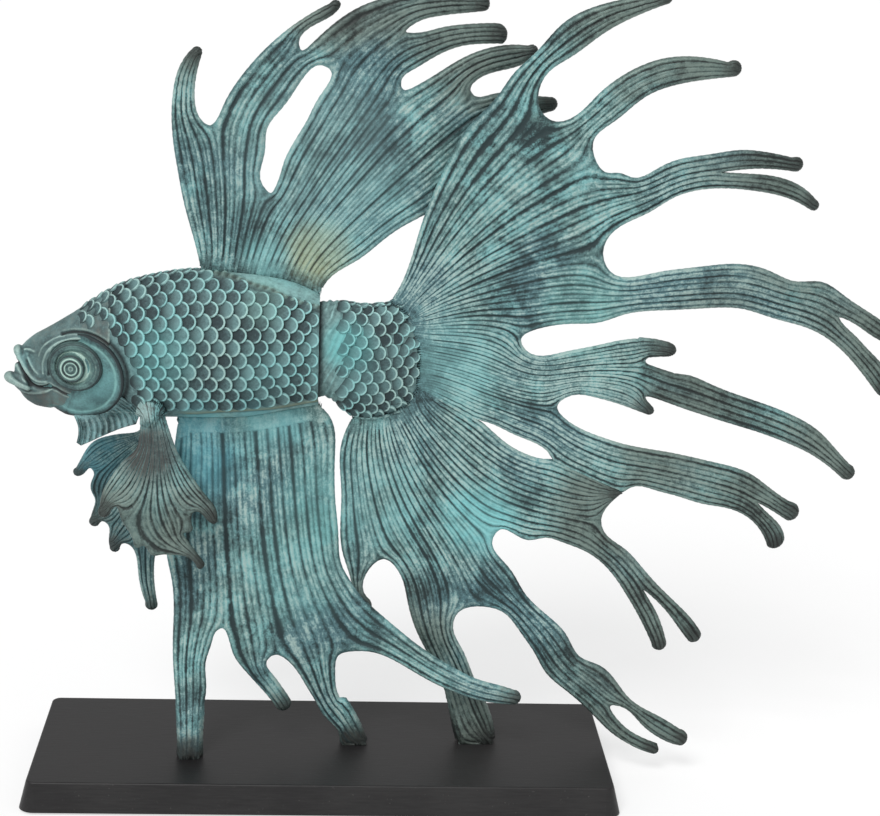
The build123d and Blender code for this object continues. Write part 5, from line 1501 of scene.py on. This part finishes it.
# Gill membranes: ribbed bronze fans fitted to the flanks, that hang out from under the gill
# covers. Thirteen ribs curve down from each cover's edge, between the fan's two borders.
rib_count = 13
membrane_half = 0.0011
rib_height = 0.0008
fan_bow = 0.0025
membrane_finish = cast_finish("patina_on_gill_membranes", srgb(138, 178, 180),
                              srgb(172, 202, 200), brown_share=-0.3, contrast=0.8)
lower_edge = np.array([(-0.1714, 0.2408), (-0.1682, 0.2388), (-0.156, 0.2448), (-0.1435, 0.2497),
                       (-0.131, 0.2545), (-0.1285, 0.2615)])
upper_angles = np.radians([-103, -92, -72, -52, -36, -22])
upper_edge = np.stack([cheek.x + (cheek_radius - 0.003) * np.cos(upper_angles),
                       cheek.z + (cheek_radius - 0.003) * np.sin(upper_angles)], axis=1)
across = np.linspace(0, 1, 260)
down = np.linspace(0, 1, 60)
upper, lower = (smoothed(points_at(across, np.linspace(0, 1, len(edge)), edge), 14)
                for edge in (upper_edge, lower_edge))
fan = upper[:, None] + (lower - upper)[:, None] * down[None, :, None]
fan[..., 0] += fan_bow * np.sin(down * math.pi)
rib = (np.abs(np.cos(across * (rib_count + 1) * math.pi)) ** 3 * 2 - 1)[:, None]
edge_in = np.minimum(np.minimum(across, 1 - across)[:, None] * 14, (1 - down) * 6)
rounding = np.sqrt(np.clip(edge_in, 0, 1))
base = flank(fan[..., 0], np.maximum(fan[..., 1], cheek.z - cheek_radius * 0.86))
base = base * (0.96 - 0.12 * down) + 0.0005
outer = base + (membrane_half + rib_height * rib * np.clip(down * 4, 0, 1)) * rounding
back = base - membrane_half * rounding
for side_name, side in both_sides.items():
    front_sheet, rear_sheet = (np.stack([fan[..., 0], side * sheet, fan[..., 1]], axis=-1)
                               for sheet in (outer, back))
    rings = np.concatenate([front_sheet, rear_sheet[:, ::-1]], axis=1)
    fan_mesh = grid_mesh(side_name + "_gill_fan", rings if side > 0 else rings[::-1], {})
    cast(fan_mesh, side_name + "_gill_fan", membrane_finish, side_name + "_gill_membrane",
         fine=0.0003)

# Pins through the sleeve joints, of drawn bronze, driven home and left bare inside the castings.
# Fine drawing marks run along them.
pin_marks_scale = 1600
pin_finish, pin_shader, pin_place = new_finish("drawn_bronze")
drawn = pin_place.stretched(1, 0.05, 1).grain(pin_marks_scale, 3, 0.6)
fill(pin_shader, {"Base Color": drawn.between(srgb(126, 96, 60), srgb(176, 140, 92)),
                  "Roughness": drawn * 0.25 + 0.3, "Metallic": 1,
                  "Normal": bumped(drawn, 0.3, 0.0002)})
dress("body_joint_pins", pin_finish)
dress("head_joint_pins", pin_finish)

# Screws and washers under the plinth, of zinc-plated steel, in the counterbores over the felt.
# The plating is a little cloudy.
zinc_cloud_scale = 500
zinc_crystal_scale = 1500
zinc_finish, zinc_shader, zinc_place = new_finish("zinc_plated_steel")
clouds = zinc_place.grain(zinc_cloud_scale, 4, 0.6)
fill(zinc_shader, {"Base Color": clouds.between(srgb(128, 130, 132), srgb(176, 178, 180)),
                   "Roughness": clouds * 0.3 + 0.25, "Metallic": 1,
                   "Normal": bumped(zinc_place.grain(zinc_crystal_scale), 0.2, 0.0001)})
for node in sorted(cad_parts):
    if node.endswith(("_screw", "_washer")):
        dress(node, zinc_finish)
